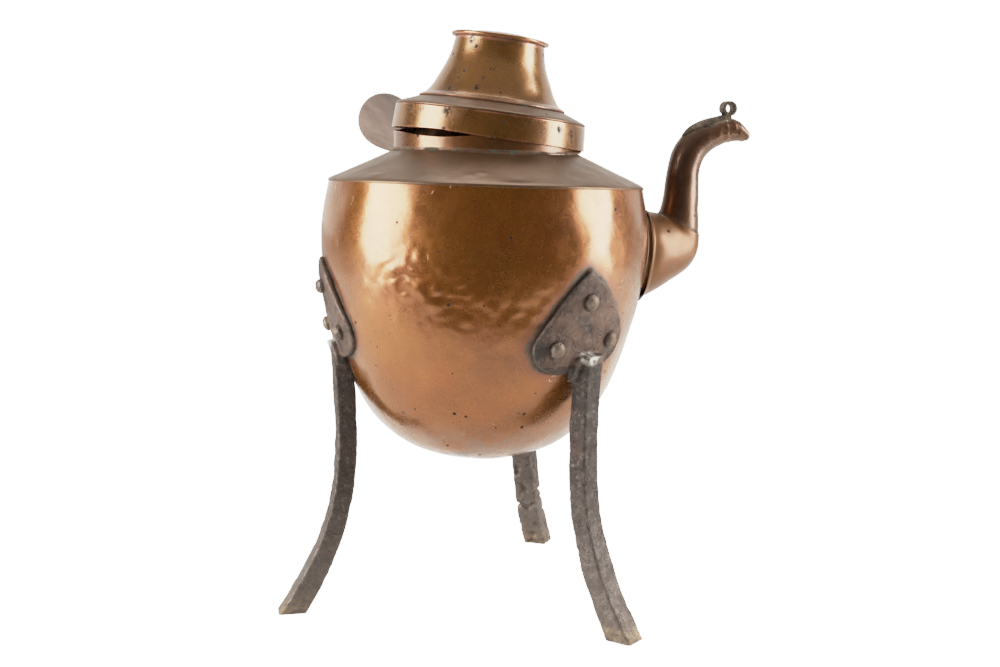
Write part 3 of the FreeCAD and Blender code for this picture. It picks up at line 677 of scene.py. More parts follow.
def bar_part(top_azimuth, foot_azimuth, foot_radius):
    """The forged bar, as a closed solid with hammered, uneven faces."""
    top_radius, top_z = BAR_LINE[0]
    foot = turned(np.array([[foot_radius, 0, 0]]), foot_azimuth)[0]
    top = turned(np.array([[top_radius, 0, 0]]), top_azimuth)[0]
    reach = norm(foot - top)
    line = []
    for r, z in BAR_LINE:
        spread = (reach - (BAR_FOOT - top_radius)) * ((top_z - z) / top_z)**2
        line.append((r - top_radius + spread, z))
    middle = cubic(line, 150)
    along = np.gradient(middle, axis=0)
    along /= norm(along, axis=1)[:, None]
    side = stacked(-along[:, 1], along[:, 0])
    half_w = 7.4
    half_d = 5.9
    corner = [(half_d, half_w), (half_d, -half_w), (-half_d, -half_w), (-half_d, half_w)]
    section = spaced(rounded(corner, [1.8] * 4), 1.2, True)
    wide = cubic([(0, 7.7), (1, 7.5), (2, 7.2), (3, 7.3), (4, 7.6), (5, 8.0), (6, 8.3)], 150)[:, 1]
    sections = []
    for m, d, w in zip(middle, side, wide):
        flare = 1 + 0.25 * np.clip((top_z - m[1]) / top_z, 0, 1)**4
        x = m[0] + d[0] * section[:, 0] * flare
        z = m[1] + d[1] * section[:, 0] * flare
        sections.append(stacked(x, section[:, 1] * w / half_w, z))
    points, faces = lofted(sections)
    heading = degrees(atan2(foot[1] - top[1], foot[0] - top[0]))
    points = turned(points, heading) + [top[0], top[1], 0]
    return points, faces


def ledge_part():
    """The bar's thick top end, which stands out under the plate's middle."""
    corner = [(0, 8.2), (0, -8.2), (6.2, -7.4), (6.2, 7.4)]
    section = spaced(rounded(corner, [1.0, 1.0, 1.6, 1.6]), 1.2, True)
    sections = []
    for z, x, size in [(150, 86.2, 1.0), (156, 87.6, 1.02), (161, 89.3, 1.03), (163.6, 90.4, 0.98),
                       (164.8, 89.4, 0.8)]:
        sections.append(stacked(x + section[:, 0], section[:, 1] * size,
                                z))
    return lofted(sections)


def make_leg(name, seed):
    plate_azimuth, twist, top_azimuth, foot_azimuth, foot_radius = LEGS[name]
    verts, faces = plate_part(twist)
    palm = leaned(turned(verts, plate_azimuth)), faces
    bar = bar_part(top_azimuth, foot_azimuth, foot_radius)
    verts, faces = ledge_part()
    ledge = leaned(turned(verts, top_azimuth)), faces
    verts, faces = joined([palm, bar, ledge])
    obj = piece(name + "_forging", verts, faces, IRON, name, sharp=0)
    remesh(obj, 0.8, 3)
    p = places(obj)
    n = normals(obj)
    lift = noise(p, 22, seed) * 0.55 + noise(p, 8, seed + 1) * 0.32 + noise(p, 3.2, seed + 2) * 0.16
    upper = soft(p[:, 2], 150, 172)
    # rust has eaten the lower bars, the rear one most
    eaten = np.maximum(noise(p, 5.5, seed + 3) - 0.12, 0) * (3.4 if name == "leg_rear" else 0.6)
    eaten *= soft(p[:, 2], 110, 60)
    p = p + n * (lift * (1 - 0.55 * upper) - np.minimum(eaten, 1.9))[:, None]
    moved(obj, p)
    b = bmesh.new()
    b.from_mesh(obj.data)
    sole = bmesh.ops.bisect_plane(b, geom=b.verts[:] + b.edges[:] + b.faces[:], dist=1e-6,
                                  plane_co=(0, 0, 0.0001), plane_no=(0, 0, -1), clear_outer=True)
    rim = [g for g in sole["geom_cut"] if isinstance(g, bmesh.types.BMEdge)]
    bmesh.ops.contextual_create(b, geom=rim)
    b.to_mesh(obj.data)
    b.free()
    p = places(obj)
    obj.data.materials.append(PLATE_IRON)
    for f in obj.data.polygons:
        f.material_index = 1 if np.mean([p[i][2] for i in f.vertices]) > PALM_LOOKS else 0
    top = turned(np.array([[97.5, 0, 164.5]]), top_azimuth)
    spot = leaned(top)[0]
    d = norm((p - spot) * [1, 1, 1.6], axis=1)
    paint(obj, "pale", soft(d, 9.0, 3.0) * 0.9)
    return obj


legs = {name: make_leg(name, 11 + 7 * i) for i, name in enumerate(LEGS)}

# ---- rivets

def rivet_head(radius, top, height, seed):
    """A hammered head along +X: facets that no two rivets share."""
    rng = np.random.default_rng(seed)
    sides = 9
    jitter = rng.uniform(0.88, 1.06, sides)
    count = 54
    a = circle(count)
    flat = np.interp(a, np.linspace(0, 2 * pi, sides + 1), np.append(jitter, jitter[0]))
    off = rng.uniform(-0.12, 0.12, 2) * radius
    rows = []
    for share, x in [(0.9, -0.8), (1.0, 0.1), (0.985, 0.45 * height), (0.86, 0.72 * height),
                     (0.62, 0.93 * height), (0.3, height), (0.02, height)]:
        r = radius * share * (flat if share > 0.5 else 1.0)
        if share < 0.9:
            r = r * (top / radius * 0.35 + 0.72)
        shift = off * (1 - share)
        rows.append(stacked(x, r * np.cos(a) + shift[0],
                            r * np.sin(a) + shift[1]))
    return lofted(rows)


def on_palm(points, leg_azimuth, across, height):
    """Points made along +X from the origin, put on the bowl's outside."""
    radius, slope = bowl_at(height)
    c = cos(slope)
    s = sin(slope)
    p = stacked(points[:, 0] * c + points[:, 2] * s, points[:, 1],
                -points[:, 0] * s + points[:, 2] * c)
    p = p + [radius, 0, height]
    return leaned(turned(p, leg_azimuth + degrees(across / radius)))


plate_rivets = []
seed = 300
for leg, (azimuth, twist, *_) in LEGS.items():
    for spot, (across, height) in PLATE_RIVETS.items():
        seed += 1
        a = radians(twist)
        y = across * cos(a) - (height - PALM_FOOT) * sin(a)
        z = across * sin(a) + (height - PALM_FOOT) * cos(a) + PALM_FOOT
        verts, faces = rivet_head(4.7, 3.2, 3.9, seed)
        outer = on_palm(verts + [3.3, 0, 0], azimuth, y, z)
        verts, tail_faces = rivet_head(4.1, 3.4, 1.9, seed + 50)
        inner = on_palm((verts * [-1, 1, 1]) + [-2.2, 0, 0], azimuth, y, z)
        name = leg + "_rivet_" + spot
        verts, faces = joined([(outer, faces), (inner, tail_faces)])
        obj = piece(name + "_head", verts, faces, RIVET_IRON, name, sharp=28)
        p = places(obj)
        moved(obj, p + normals(obj) * (noise(p, 2.6, seed) * 0.14)[:, None])
        plate_rivets.append(obj)

# ---- bowl and shoulder

SPOUT_Z = 217.0
WRINKLE_AZIMUTH = -118.0


def vessel_relief(p):
    """How far the hammered vessel's wall stands in or out, in mm, at places on it."""
    lift = noise(p, 46, 1) * 0.55 + noise(p, 21, 2) * 0.30 + noise(p, 10, 3) * 0.07
    zone = near_azimuth(p, WRINKLE_AZIMUTH, 24) * np.exp(-((p[:, 2] - 205) / 20)**2)
    crumple = np.abs(noise(p, 9, 5)) * 0.9 + noise(p, 4.6, 6) * 0.22
    lift += zone * (crumple - 0.3)
    near_mid = near_azimuth(p, -88, 16) * np.exp(-((p[:, 2] - 192) / 12)**2)
    lift += near_mid * noise(p, 7, 8) * 0.4
    rng = np.random.default_rng(40)
    a = rng.uniform(-pi, pi, 46)
    z = rng.uniform(125, 258, 46)
    r = np.interp(z, BOWL_LINE[:, 1], BOWL_LINE[:, 0])
    centres = stacked(r * np.cos(a), r * np.sin(a), z)
    lift += bumps(p, centres, rng.uniform(4, 13, 46), -rng.uniform(0.1, 0.45, 46))
    return lift


def vessel_shape(p):
    """Points of the upright vessel, hammered out of round and then leaned as it sits."""
    centre = stacked(0, 0, np.minimum(p[:, 2], 215))
    away = p - centre
    away[:, 2] = np.where(p[:, 2] < 150, (p[:, 2] - 190), 0)
    length = np.maximum(norm(away, axis=1), 1)[:, None]
    return leaned(p + away / length * vessel_relief(p)[:, None])


top = np.array([[96.35, 261.3], [95.6, 261.8], [94.9, 261.4]])
inner_points = [(r - 1.5 if r > 60 else r * 0.975, z + (0 if z > 150 else 1.5 * (150 - z) / 58))
                for r, z in BOWL_OUTLINE]
inner = cubic(inner_points, 110, (1, 0))[::-1]
verts, faces = revolved(np.concatenate([BOWL_LINE, top, inner]), 380, False)
verts = vessel_shape(verts)
bowl = piece("bowl_raised", verts, faces, BODY_COPPER, "bowl")
bowl.data.materials.append(TIN)


def cut(obj, points, faces):
    """Takes a closed solid out of a piece."""
    cutter = added("cutter", mesh_of("cutter", points, faces))
    m = obj.modifiers.new("cut", "BOOLEAN")
    m.operation = "DIFFERENCE"
    m.solver = "EXACT"
    m.object = cutter
    apply_modifiers(obj)
    mesh = cutter.data
    bpy.data.objects.remove(cutter)
    bpy.data.meshes.remove(mesh)


a = circle(64)
ring = stacked(np.zeros(64), 22 * np.cos(a), SPOUT_Z + 22 * np.sin(a))
cut(bowl, *lofted([ring + [80, 0, 0], ring + [120, 0, 0]]))
for f in bowl.data.polygons:
    c = np.array(f.center) * MM
    inside = np.array(f.normal) @ np.array([c[0], c[1], (c[2] - 185) * 1.1]) < 0
    f.material_index = 1 if inside else 0
bowl.data.shade_smooth()
bowl.data.set_sharp_from_angle(angle=radians(40))

bowl_tree = tree_of(bowl)
p = places(bowl)
plate_only = []
for leg in legs.values():
    keep = [f.vertices for f in leg.data.polygons if f.material_index == 1]
    plate_only.append(BVHTree.FromPolygons([v.co for v in leg.data.vertices], keep))
d = distance_to(p, plate_only)
paint(bowl, "plate", soft(d, 15.0, 0.5))

# ---- shoulder, from the crease to the neck
CONE_SLOPE = 24.6
slope = radians(CONE_SLOPE)
corner_end = np.array([92.9, 260.5]) + np.array([sin(slope), cos(slope)]) * 3.5
cone_top = np.array([55.9, corner_end[1] + (corner_end[0] - 55.9) * tan(slope)])
normal = np.array([sin(slope), cos(slope)])
profile = rounded([(95.9, 260.6), (96.7, 260.9), (96.75, 262.15), (94.6, 263.55), cone_top,
                   cone_top - normal * 1.5, np.array([93.2, 264.2]) - normal * 1.5, (94.2, 260.7)],
                  [0, 0.3, 0.7, 0.8, 0.3, 0.3, 1, 0.4])
profile = spaced(profile, 0.9, True)
verts, faces = revolved(profile, 380, True)


def cone_relief(p):
    lift = noise(p, 34, 21) * 0.5 + noise(p, 14, 22) * 0.16
    rng = np.random.default_rng(77)
    a = np.concatenate([np.radians([-146, -132, -108, -104, -72, -45, -30]),
                        rng.uniform(-pi, pi, 12)])
    r = np.concatenate([[93, 90, 88, 84, 92, 93, 90], rng.uniform(62, 93, 12)])
    centres = stacked(r * np.cos(a), r * np.sin(a),
                      corner_end[1] + (corner_end[0] - r) * tan(slope))
    depths = np.concatenate([[0.9, -0.5, 0.5, 0.35, -0.35, -0.6, 0.4], rng.uniform(-0.4, 0.2, 12)])
    return lift + bumps(p, centres, np.concatenate([[5, 6, 3.5, 3, 6, 4, 5],
                                                    rng.uniform(4, 10, 12)]), depths)


inward = soft(verts[:, 2], 262, 266)[:, None]
lift = cone_relief(verts)[:, None]
side, length = outward(verts)
match = vessel_relief(np.minimum(verts, [999, 999, 259]))[:, None]
verts = verts + side / length * match * (1 - inward) + np.array([0, 0, 1.0]) * lift * inward
shoulder = piece("shoulder_cone", leaned(verts), faces, CONE_COPPER, "shoulder")

# ---- neck

base = cone_top[1] + 0.35
profile = spaced(rounded([(57.9, base - 0.9), (58.1, base - 0.2), (57.25, base + 1.2),
                          (57.2, base + 12.5), (56.2, base + 12.5), (56.2, base - 0.9)],
                         [0.3, 0.5, 1.0, 0.42, 0.42, 0.3]), 0.8, True)
verts, faces = revolved(profile, 320, True)
lift = noise(verts, 30, 31) * 0.35 + noise(verts, 11, 32) * 0.10
side, length = outward(verts)
rim = soft(verts[:, 2], base + 6, base + 12)
verts = verts - side / length * (np.abs(lift) * 0.55)[:, None]
verts[:, 2] += noise(verts, 13, 33) * 0.18 * rim
verts[:, 2] -= 2.5 * near_azimuth(verts, 229, 27) * soft(verts[:, 2], base + 3, base + 12.5)
edge = soft(verts[:, 2], base + 11.2, base + 12.4)
neck = piece("neck_band", leaned(tipped(verts, base - 0.35, 234, 3.1)), faces, NECK_COPPER,
             "neck_collar")
paint(neck, "edge", edge)

# ---- lid

LID_TURN = np.array(Matrix.Rotation(radians(7.6), 3, "Y"))
LID_CENTRE = np.array([1.6, 0.8, 288.7])


def on_lid(points):
    return points @ LID_TURN.T + LID_CENTRE


def lid_shape(p):
    """The lid's sheet, hammered a little out of round, in its own frame."""
    lift = noise(p, 30, 51) * 0.30 + noise(p, 12, 52) * 0.10
    side, length = outward(p)
    fade = np.minimum(length / 12, 1)
    out = p + side / np.maximum(length, 0.1) * lift[:, None] * fade
    out[:, 2] += noise(p, 28, 53) * 0.30 + noise(p, 12, 54) * 0.08
    out[:, 2] += 1.3 * near_azimuth(p, 226, 21) * soft(p[:, 2], 9, 0)
    return out


def lid_piece(name, profile, node, closed=True, material=LID_COPPER, step=0.7, worn=(),
              spots=()):
    """A turned lid part. worn holds rubbed places by radius, height and reach."""
    verts, faces = revolved(spaced(profile, step, closed), 320, closed)
    edge = np.zeros(len(verts))
    for r, z, reach in worn:
        d = np.hypot(np.hypot(verts[:, 0], verts[:, 1]) - r, verts[:, 2] - z)
        edge = np.maximum(edge, soft(d, reach, reach * 0.3))
    dark = np.zeros(len(verts))
    for azimuth, z, reach in spots:
        r = np.hypot(verts[:, 0], verts[:, 1])
        span = np.hypot(np.radians(azimuth_from(verts, azimuth)) * r, (verts[:, 2] - z) * 0.9)
        dark = np.maximum(dark, soft(span, reach, reach * 0.2))
    obj = piece(name, on_lid(lid_shape(verts)), faces, material, node, "lid")
    paint(obj, "edge", edge)
    paint(obj, "spots", dark)
    return obj


# azimuth, height and reach of the black marks
SKIRT_SPOTS = [(-156, 12.3, 4.2), (-150, 9.5, 2.2), (-146, 12.0, 2.4), (-127, 12.2, 5.0),
               (-120, 8.5, 1.6), (-119, 12.8, 2.8), (-94, 9.6, 1.9), (-68, 8.2, 1.0),
               (-58, 10.0, 3.0), (-46, 8.6, 4.6), (-45, 4.2, 2.0), (-100, 1.2, 2.0),
               (-128, 1.0, 2.2), (-76, 12.6, 1.2), (30, 8, 4), (80, 11, 3), (140, 6, 5)]
BELL_SPOTS = [(-106, 56.6, 2.6), (-131, 53.0, 1.9), (-92, 57.0, 1.8), (-140, 57.0, 3.0),
              (-104, 40.5, 1.4), (-114, 34.6, 1.9), (-117, 28.4, 3.4), (-96, 26.6, 2.0),
              (-136, 38.0, 2.2), (-139, 33.5, 2.6), (-143, 26.5, 3.0), (-76, 57.2, 1.6),
              (20, 40, 3), (75, 30, 3.5), (120, 50, 2.5), (170, 28, 4)]
skirt_line = rounded([(59.45, 0), (58.35, 14.4), (57.9, 14.9), (57.2, 14.4), (58.4, 0)],
                     [0.3, 0.6, 0.2, 0.5, 0.3])
lid_piece("lid_skirt_band", skirt_line, "lid_skirt", step=0.6,
          worn=[(58.3, 14.6, 1.0), (59.2, 0.2, 0.8)], spots=SKIRT_SPOTS)
shoulder_line = rounded([(58.3, 14.85), (58.35, 15.7), (57.4, 16.45), (44.6, 21.35), (42.0, 21.5),
                         (42.0, 20.5), (44.4, 20.3), (57.2, 14.9)],
                        [0.2, 0.5, 0.9, 0.8, 0.3, 0.3, 0.5, 0.2])
lid_shoulder = lid_piece("lid_shoulder_cone", shoulder_line, "lid_shoulder",
                         material=CONE_COPPER, worn=[(58.3, 15.4, 1.0)])
bell_line = cubic([(44.6, 21.5), (43.6, 22.3), (40.2, 25.6), (34.6, 35.45), (29.6, 47.45),
                   (27.2, 59.85)], 60)
bell_inner = bell_line[::-1] - [1.0, 0]
bell_profile = np.concatenate([[(44.7, 21.45), (45.1, 21.9), (44.9, 22.5)], bell_line[6:],
                               [(26.7, 60.0)], bell_inner[:-3], [(43.4, 21.45)]])
lid_bell = lid_piece("lid_bell_raised", bell_profile, "lid_bell",
                     worn=[(45.0, 22.0, 1.1), (27.2, 59.0, 1.8)], spots=BELL_SPOTS)
a = circle(20)
rim_line = stacked(28.65 + 1.3 * np.cos(a), 61.05 + 1.2 * np.sin(a))
lid_rim = lid_piece("lid_rim_roll", rim_line, "lid_rim", worn=[(29.4, 60.2, 1.3)], step=9)
dome = [(0, 65.1), (8, 64.9), (16, 64.1), (23, 62.9), (26.4, 62.1), (27.6, 62.0), (27.6, 61.2),
        (26.4, 61.1), (22, 61.7), (12, 63.4), (0, 64.2)]
lid_cap = lid_piece("lid_cap_disc", np.array(dome, float)[::-1], "lid_cap", False, CAP_COPPER_PAINTED_REFLECTION, 1.0)

# ---- spout


def surface_x(y, z):
    """Where the bowl's outside is at a place across from the spout's root."""
    hit = struck(bowl_tree, np.array([200.0, y, z]), (-1, 0, 0))
    return 95.0 if hit is None else hit[0]


def spout_sections(rows, count, inwards, samples):
    """Oval sections (rows, points, 3) smoothly through (back, front, half width) rows."""
    flat = np.array([(b[0], b[1], f[0], f[1], w) for b, f, w in rows], float)
    line = cubic(flat, samples)
    a = circle(count)
    out = []
    for bx, bz, fx, fz, w in line:
        centre = np.array([(bx + fx) / 2, (bz + fz) / 2])
        along = np.array([fx - bx, fz - bz])
        long = norm(along) / 2
        along /= 2 * long
        reach = (long - inwards) * np.cos(a)
        out.append(stacked(centre[0] + along[0] * reach, (w - inwards) * np.sin(a),
                           centre[1] + along[1] * reach))
    return np.array(out)


BOOT = [((92.0, 245.0), (92.0, 186.4), 26.4), ((104.5, 243.4), (108.0, 192.4), 24.6),
        ((108.6, 242.8), (121.5, 200.4), 20.6), ((110.8, 242.4), (133.0, 208.6), 16.4),
        ((111.6, 242.3), (138.2, 217.8), 13.8), ((112.0, 242.3), (139.2, 228.0), 12.8)]
a = circle(120)
rows = []
for r, out in [(23.6, 0.0), (27.7, 0.0), (28.0, 0.5), (28.0, 1.4), (27.5, 1.9), (25.8, 1.9),
               (25.3, 2.3), (25.2, 4.6), (23.6, 4.6)]:
    y = r * np.cos(a)
    z = SPOUT_Z + r * np.sin(a)
    x = np.array([surface_x(j, k) for j, k in zip(y, z)]) - 0.25 + out
    rows.append(stacked(x, y, z))
ring = np.array(rows)
ring += (noise(ring.reshape(-1, 3), 7, 61) * 0.12).reshape(9, 120, 1)
verts, faces = ring.reshape(-1, 3), quads(9, 120, True, True)
spout_collar = piece("spout_collar_ring", verts, faces, SPOUT_COPPER, "spout_collar")


def boot_grid(inwards):
    grid = spout_sections(BOOT, 120, inwards, 90)
    root = grid[0]
    wall_x = np.array([surface_x(j, SPOUT_Z + (k - SPOUT_Z) * 0.97)
                       for j, k in zip(root[:, 1], root[:, 2])])
    floor = wall_x[None, :] + 3.7
    start = grid[:, :, 0]
    grid[:, :, 0] = np.where(start < floor + 4, floor + 4 * np.exp((start - floor - 4) / 4), start)
    return grid


grid = boot_grid(0)
bead = np.exp(-((grid[:, :, 0] - grid[0, :, 0] - 0.9) / 0.8)**2) * 0.7
away = grid - [0, 0, SPOUT_Z]
away[:, :, 0] = 0
away /= norm(away, axis=2)[:, :, None]
flat = grid.reshape(-1, 3)
lift = noise(flat, 19, 62) * 0.35 + noise(flat, 8, 63) * 0.12
grid = grid + away * (bead + lift.reshape(bead.shape) * 0.9)[:, :, None]
verts, faces = tube_wall(grid, boot_grid(1.0))
spout_boot = piece("spout_boot_stub", verts, faces, SPOUT_COPPER, "spout_boot")

SPOUT_TIP_X = 170.7
SWAN = [(126.4, 246.0, 11.9), (127.4, 256.0, 11.0), (128.4, 268.5, 10.4), (131.8, 279.5, 10.1),
        (139.4, 287.8, 9.3), (149.2, 292.6, 8.2)]


def swan_rows():
    line = cubic([(125.6, 235.1)] + [s[:2] for s in SWAN] + [(160.0, 294.4), (171.5, 293.2)],
                 400)
    along = np.gradient(line, axis=0)
    rows = [((112.3, 242.1), (138.7, 228.1), 12.4)]
    for x, z, r in SWAN + [(156.5, 294.2, 7.5)]:
        k = np.argmin(np.hypot(line[:, 0] - x, line[:, 1] - z))
        t = along[k] / norm(along[k])
        side = np.array([t[1], -t[0]])
        centre = np.array([x, z])
        rows.append((tuple(centre - side * r), tuple(centre + side * r), r))
    return rows + [((164.2, 300.0), (166.8, 287.6), 6.7), ((170.2, 294.6), (171.6, 288.0), 5.0)]


outer = spout_sections(swan_rows(), 96, 0, 190)
inner = spout_sections(swan_rows(), 96, 1.0, 190)
flat = outer.reshape(-1, 3)
lift = noise(flat, 17, 71) * 0.35 + noise(flat, 7, 72) * 0.16
lift += soft(flat[:, 0], 146, 156) * (np.maximum(noise(flat, 4.2, 73), 0) * 0.55)
centre = outer.mean(axis=1, keepdims=True)
away = outer - centre
away /= norm(away, axis=2)[:, :, None]
outer = outer + away * lift.reshape(outer.shape[:2])[:, :, None]
for wall in (outer, inner):
    wall[:, :, 0] = np.minimum(wall[:, :, 0], SPOUT_TIP_X)
verts, faces = tube_wall(outer, inner)
spout_neck = piece("spout_swan_neck", verts, faces, SWAN_COPPER, "spout_neck")
tip = soft(verts[:, 0], 168.3, 171) * soft(-verts[:, 2], -293.5, -289)
paint(spout_neck, "edge", tip)

# ---- hinge strap with its curled, empty knuckle
ACROSS = np.array([0, 1, 0])
neck_tree = tree_of(spout_neck)
tail = np.array([127.5, 0, 289.5])
nose = np.array([159.6, 0, 300.0])
along = (nose - tail) / norm(nose - tail)
normal = np.array([-along[2], 0, along[0]])
length = norm(nose - tail)
sections = []
for u in np.linspace(0, 1, 36):
    half = 6.3 * sqrt(max(1 - (1 - min(u / 0.62, 1))**2.2, 0.015))
    half = half if u < 0.62 else 6.3 - (u - 0.62) / 0.38 * 1.8
    top_row = []
    low_row = []
    for v in np.linspace(-1, 1, 17):
        start = tail + along * (u * length) + ACROSS * half * v + normal * 12
        spot = struck(neck_tree, start, -normal)
        if spot is None:
            spot = start - normal * 12
        thick = 1.75 * min(1, 0.35 + u * 4) * (1 - 0.35 * abs(v)**6)
        top_row.append(spot + normal * thick)
        low_row.append(spot - normal * 0.35)
    sections.append(top_row + low_row[::-1])
leaf = lofted(sections)
knuckle = np.array([157.7, 0, 307.9])
rows = []
for angle in np.radians(np.linspace(-78, 246, 70)):
    share = (degrees(angle) + 78) / 324
    radius = 3.75 - 0.15 * share
    ray = np.array([cos(angle), 0, sin(angle)])
    wide = 4.5 - 0.5 * share
    section = rounded([(1.05, wide), (1.05, -wide), (-1.0, -wide), (-1.0, wide)], [0.5] * 4)
    rows.append(knuckle + ray * (radius + section[:, :1]) + ACROSS * section[:, 1:])
curl = lofted(rows)
foot = []
for x, z in [(150.5, 301.6), (153.5, 302.5), (156.2, 303.2), (158.2, 303.7)]:
    section = rounded([(1.0, 4.6), (1.0, -4.6), (-1.2, -4.6), (-1.2, 4.6)], [0.5] * 4)
    foot.append(np.array([x, 0, z]) + normal * section[:, :1] + ACROSS * section[:, 1:])
verts, faces = joined([leaf, curl, lofted(foot)])
strap = piece("spout_hinge_leaf", verts, faces, STRAP, "spout_hinge_strap", sharp=0)
remesh(strap, 0.28, 2)
p = places(strap)
moved(strap, p + normals(strap) * (noise(p, 3.0, 81) * 0.10)[:, None])

# ---- handle

HANDLE_AZIMUTH = 100
HANDLE_REACH = 78.0  # from the vessel's axis to the middle of the flange
HANDLE_TURN = np.array(Matrix.Rotation(radians(76.5), 3, "Y"))
ABOVE = 330.0  # clear of the cone, where the rays down on it start


def on_handle(points):
    """Points made along +Z, put on the handle's rising axis."""
    return leaned(turned(points @ HANDLE_TURN.T + [HANDLE_REACH, 0, 274.0], HANDLE_AZIMUTH))


grip_line = np.concatenate([
    [(0, 30), (8.7, 30), (8.8, 47.6), (13.4, 47.7), (14.0, 48.6)],
    cubic([(14.0, 48.6), (13.0, 68), (16.4, 96), (19.5, 119), (19.9, 130), (16.6, 140.2),
           (9.0, 144.2), (0, 145)], 110, None, (-1, 0))[1:]])
verts, faces = revolved(spaced(grip_line, 1.2), 150, False)
side, length = outward(verts)
length = np.maximum(length, 0.5)
lift = noise(verts * [1, 1, 0.4], 17, 91) * 0.28 + noise(verts * [1, 1, 0.15], 4, 92) * 0.07
shaped = verts + side / length * (lift * np.minimum(length[:, 0] / 6, 1))[:, None]
grip = piece("handle_grip_turned", on_handle(shaped), faces, WOOD, "handle_grip")
paint(grip, "grain", verts / MM)

cone_tree = tree_of(shoulder)
tube_line = rounded([(11.4, -13), (10.9, 8), (10.75, 46.6), (10.9, 48.0), (9.25, 48.0),
                     (9.25, -13)], [0, 1, 0.3, 0.5, 0.4, 0])
verts, faces = revolved(spaced(tube_line, 1.2, True), 110, True)
verts = verts * (1 + (noise(verts, 12, 95) * 0.012)[:, None] * [1, 1, 0])
tube = on_handle(verts), faces
a = circle(110)
rows = []
for share, out in [(0.42, 0.4), (0.42, 1.9), (0.5, 1.55), (0.7, 1.5), (0.93, 1.5), (0.99, 1.2),
                   (1.0, 0.6), (1.0, -0.2)]:
    flat = stacked(HANDLE_REACH + 15.5 * share * np.cos(a), 25 * share * np.sin(a),
                   ABOVE)
    row = []
    for q in turned(flat, HANDLE_AZIMUTH):
        hit = struck(cone_tree, q, (0, 0, -1))
        row.append((q[0], q[1], (268.0 if hit is None else hit[2]) + out * 1.12))
    rows.append(row)
verts, faces = joined([tube, lofted(rows, False)])
socket = piece("handle_socket_tube", verts, faces, SPOUT_COPPER, "handle_socket")

a = circle(24)
pin = []
for x, r in [(-13.9, 0.9), (-13.6, 1.5), (-12.4, 1.75), (-11.9, 1.6), (11.9, 1.6), (12.4, 1.75),
             (13.6, 1.5), (13.9, 0.9)]:
    pin.append(stacked(r * np.cos(a), x, 40 + r * np.sin(a)))
verts, faces = lofted(pin)
piece("handle_pin_nail", on_handle(verts), faces, RIVET_IRON, "handle_pin")
turn = np.array(Matrix.Rotation(radians(CONE_SLOPE - 90), 3, "Y"))
height = cone_top[1] - (HANDLE_REACH - cone_top[0]) * tan(slope)
for side, across in (("left", 18.5), ("right", -18.5)):
    azimuth = HANDLE_AZIMUTH + degrees(across / HANDLE_REACH)
    head, faces = rivet_head(3.4, 2.4, 2.1, 400 + int(across))
    tail = head * [-0.6, 0.85, 0.85] - [1.6, 0, 0]
    parts = [(leaned(turned(verts @ turn.T + [HANDLE_REACH, 0, height], azimuth)), faces)
             for verts in (head + [1.4, 0, 0], tail)]
    verts, faces = joined(parts)
    name = "handle_rivet_" + side
    piece(name + "_head", verts, faces, RIVET_IRON, name, sharp=28)

# ---- dirt in the joints

for obj, reach, others in [
        (bowl, 4.0, [spout_collar, *legs.values()]), (shoulder, 2.6, [neck, socket]),
        (neck, 2.2, [shoulder]), (lid_shoulder, 1.8, [lid_bell]),
        (lid_bell, 2.4, [lid_shoulder, lid_rim]), (lid_cap, 2.2, [lid_rim]),
        (lid_rim, 0.6, [lid_bell]), (spout_collar, 1.6, [spout_boot, bowl]),
        (spout_boot, 1.8, [spout_collar, spout_neck]), (spout_neck, 2.0, [spout_boot, strap]),
        (socket, 1.5, [shoulder]), *[(leg, 2.6, plate_rivets) for leg in legs.values()]]:
    d = distance_to(places(obj), [tree_of(o) for o in others])
    paint(obj, "near", soft(d, reach, 0.2))

# ---- floor, light, camera


def stage_plane(name, corners, material):
    mesh = bpy.data.meshes.new(name)
    mesh.from_pydata([from_view(*c) for c in corners], [], [list(range(len(corners)))])
    mesh.materials.append(material)
    obj = added(name, mesh)
    return obj


s = Shader("floor_paper")
FLOOR = s.finish(Base_Color=(0.88, 0.86, 0.81), Roughness=0.8, Specular_IOR_Level=0.1,
                 Emission_Color=(1, 0.97, 0.91), Emission_Strength=0.15)
ground = [(x, y, 0) for x, y in ((-6, -6), (6, -6), (6, 6), (-6, 6))]
stage_plane("floor", ground, FLOOR).visible_camera = False

# the camera sees a floor as white as the photo's, which lights nothing
s = Shader("bright_paper")
PAPER = s.finish(Base_Color=(0.93, 0.92, 0.91), Emission_Color=(1, 1, 1), Emission_Strength=4.2)
paper = stage_plane("floor_seen", ground, PAPER)
paper.visible_glossy = paper.visible_diffuse = paper.visible_shadow = False

# a dark card in front, seen only in reflections, so that the bowl mirrors a darker room
s = Shader("dark_card")
CARD = s.finish(Base_Color=(0.03, 0.022, 0.018), Roughness=0.9)
card = stage_plane("card_front", [(x, y, 0.0006) for x, y in
                                  ((-4, -4), (4, -4), (4, -0.37), (-4, -0.37))], CARD)
card.visible_camera = card.visible_shadow = card.visible_diffuse = False


def soft_box(name, where, target, width, height, power):
    light = bpy.data.lights.new(name, "AREA")
    light.shape = "RECTANGLE"
    light.size = width
    light.size_y = height
    light.energy = power
    obj = added(name, light)
    obj.location = from_view(*where)
    aim = from_view(*target) - obj.location
    obj.rotation_euler = aim.to_track_quat("-Z", "Y").to_euler()


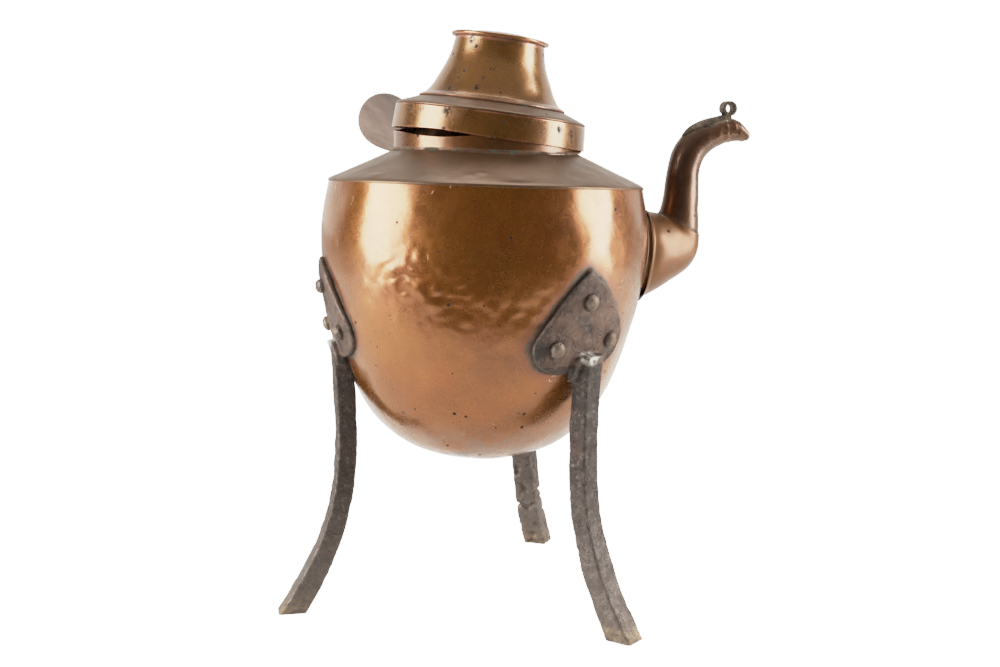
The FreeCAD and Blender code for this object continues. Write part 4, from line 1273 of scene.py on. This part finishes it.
soft_box("box_left", (-1.13, -0.39, 0.50), (0, 0, 0.24), 0.74, 1.0, 26)
soft_box("box_right", (1.2, -0.09, 0.50), (0, 0, 0.24), 0.58, 1.0, 20)
soft_box("box_top", (0.1, 0.5, 1.7), (0, 0, 0.2), 1.2, 1.0, 10)

# the room is bright behind the object and dim on the camera's side, and the camera sees white
scene = bpy.context.scene
scene.world = bpy.data.worlds.new("studio")
w = Nodes(scene.world)
direction = w.node("ShaderNodeTexCoord").outputs["Generated"]
behind = w.node("ShaderNodeVectorMath", {0: direction, 1: from_view(0, 1, 0)},
                operation="DOT_PRODUCT").outputs["Value"]
height = w.node("ShaderNodeSeparateXYZ", Vector=direction).outputs[2]
wall = w.ramp(behind, 0.42, 0.58, 0.06, 1.15)
ceiling = w.ramp(height, 0.45, 0.75)
tone = w.node("ShaderNodeMix", {0: ceiling, 2: wall, 3: 0.42}, data_type="FLOAT")
room = w.node("ShaderNodeBackground", Color=(1, 0.96, 0.90), Strength=tone.outputs[0])
white = w.node("ShaderNodeBackground", Color=(1, 1, 1), Strength=4.4)
seen = w.node("ShaderNodeLightPath").outputs["Is Camera Ray"]
both = w.node("ShaderNodeMixShader", {0: seen, 1: room.outputs[0], 2: white.outputs[0]})
w.node("ShaderNodeOutputWorld", Surface=both.outputs[0])

scene.view_settings.view_transform = "Standard"
scene.view_settings.look = "None"
# bright reflections roll off softly, as they do on film, up to FILM_WHITE times white
scene.view_settings.use_curve_mapping = True
film = scene.view_settings.curve_mapping
FILM_WHITE = 4.0
film.white_level = [FILM_WHITE] * 3
curve = film.curves[3]
for x, y in ((0.45, 0.45), (0.7, 0.63), (1.0, 0.745), (1.5, 0.82), (2.5, 0.885), (3.3, 0.945)):
    curve.points.new(x / FILM_WHITE, y)
for point in curve.points:
    point.handle_type = "VECTOR"
film.update()

camera = bpy.data.cameras.new("camera")
camera.sensor_width = 36
camera.lens = 52.27
eye = added("camera", camera)
eye.location = from_view(0.009, -0.900, 0.296)
eye.rotation_euler = (radians(90 - 8.08), 0, VIEW_TURN)
scene.camera = eye
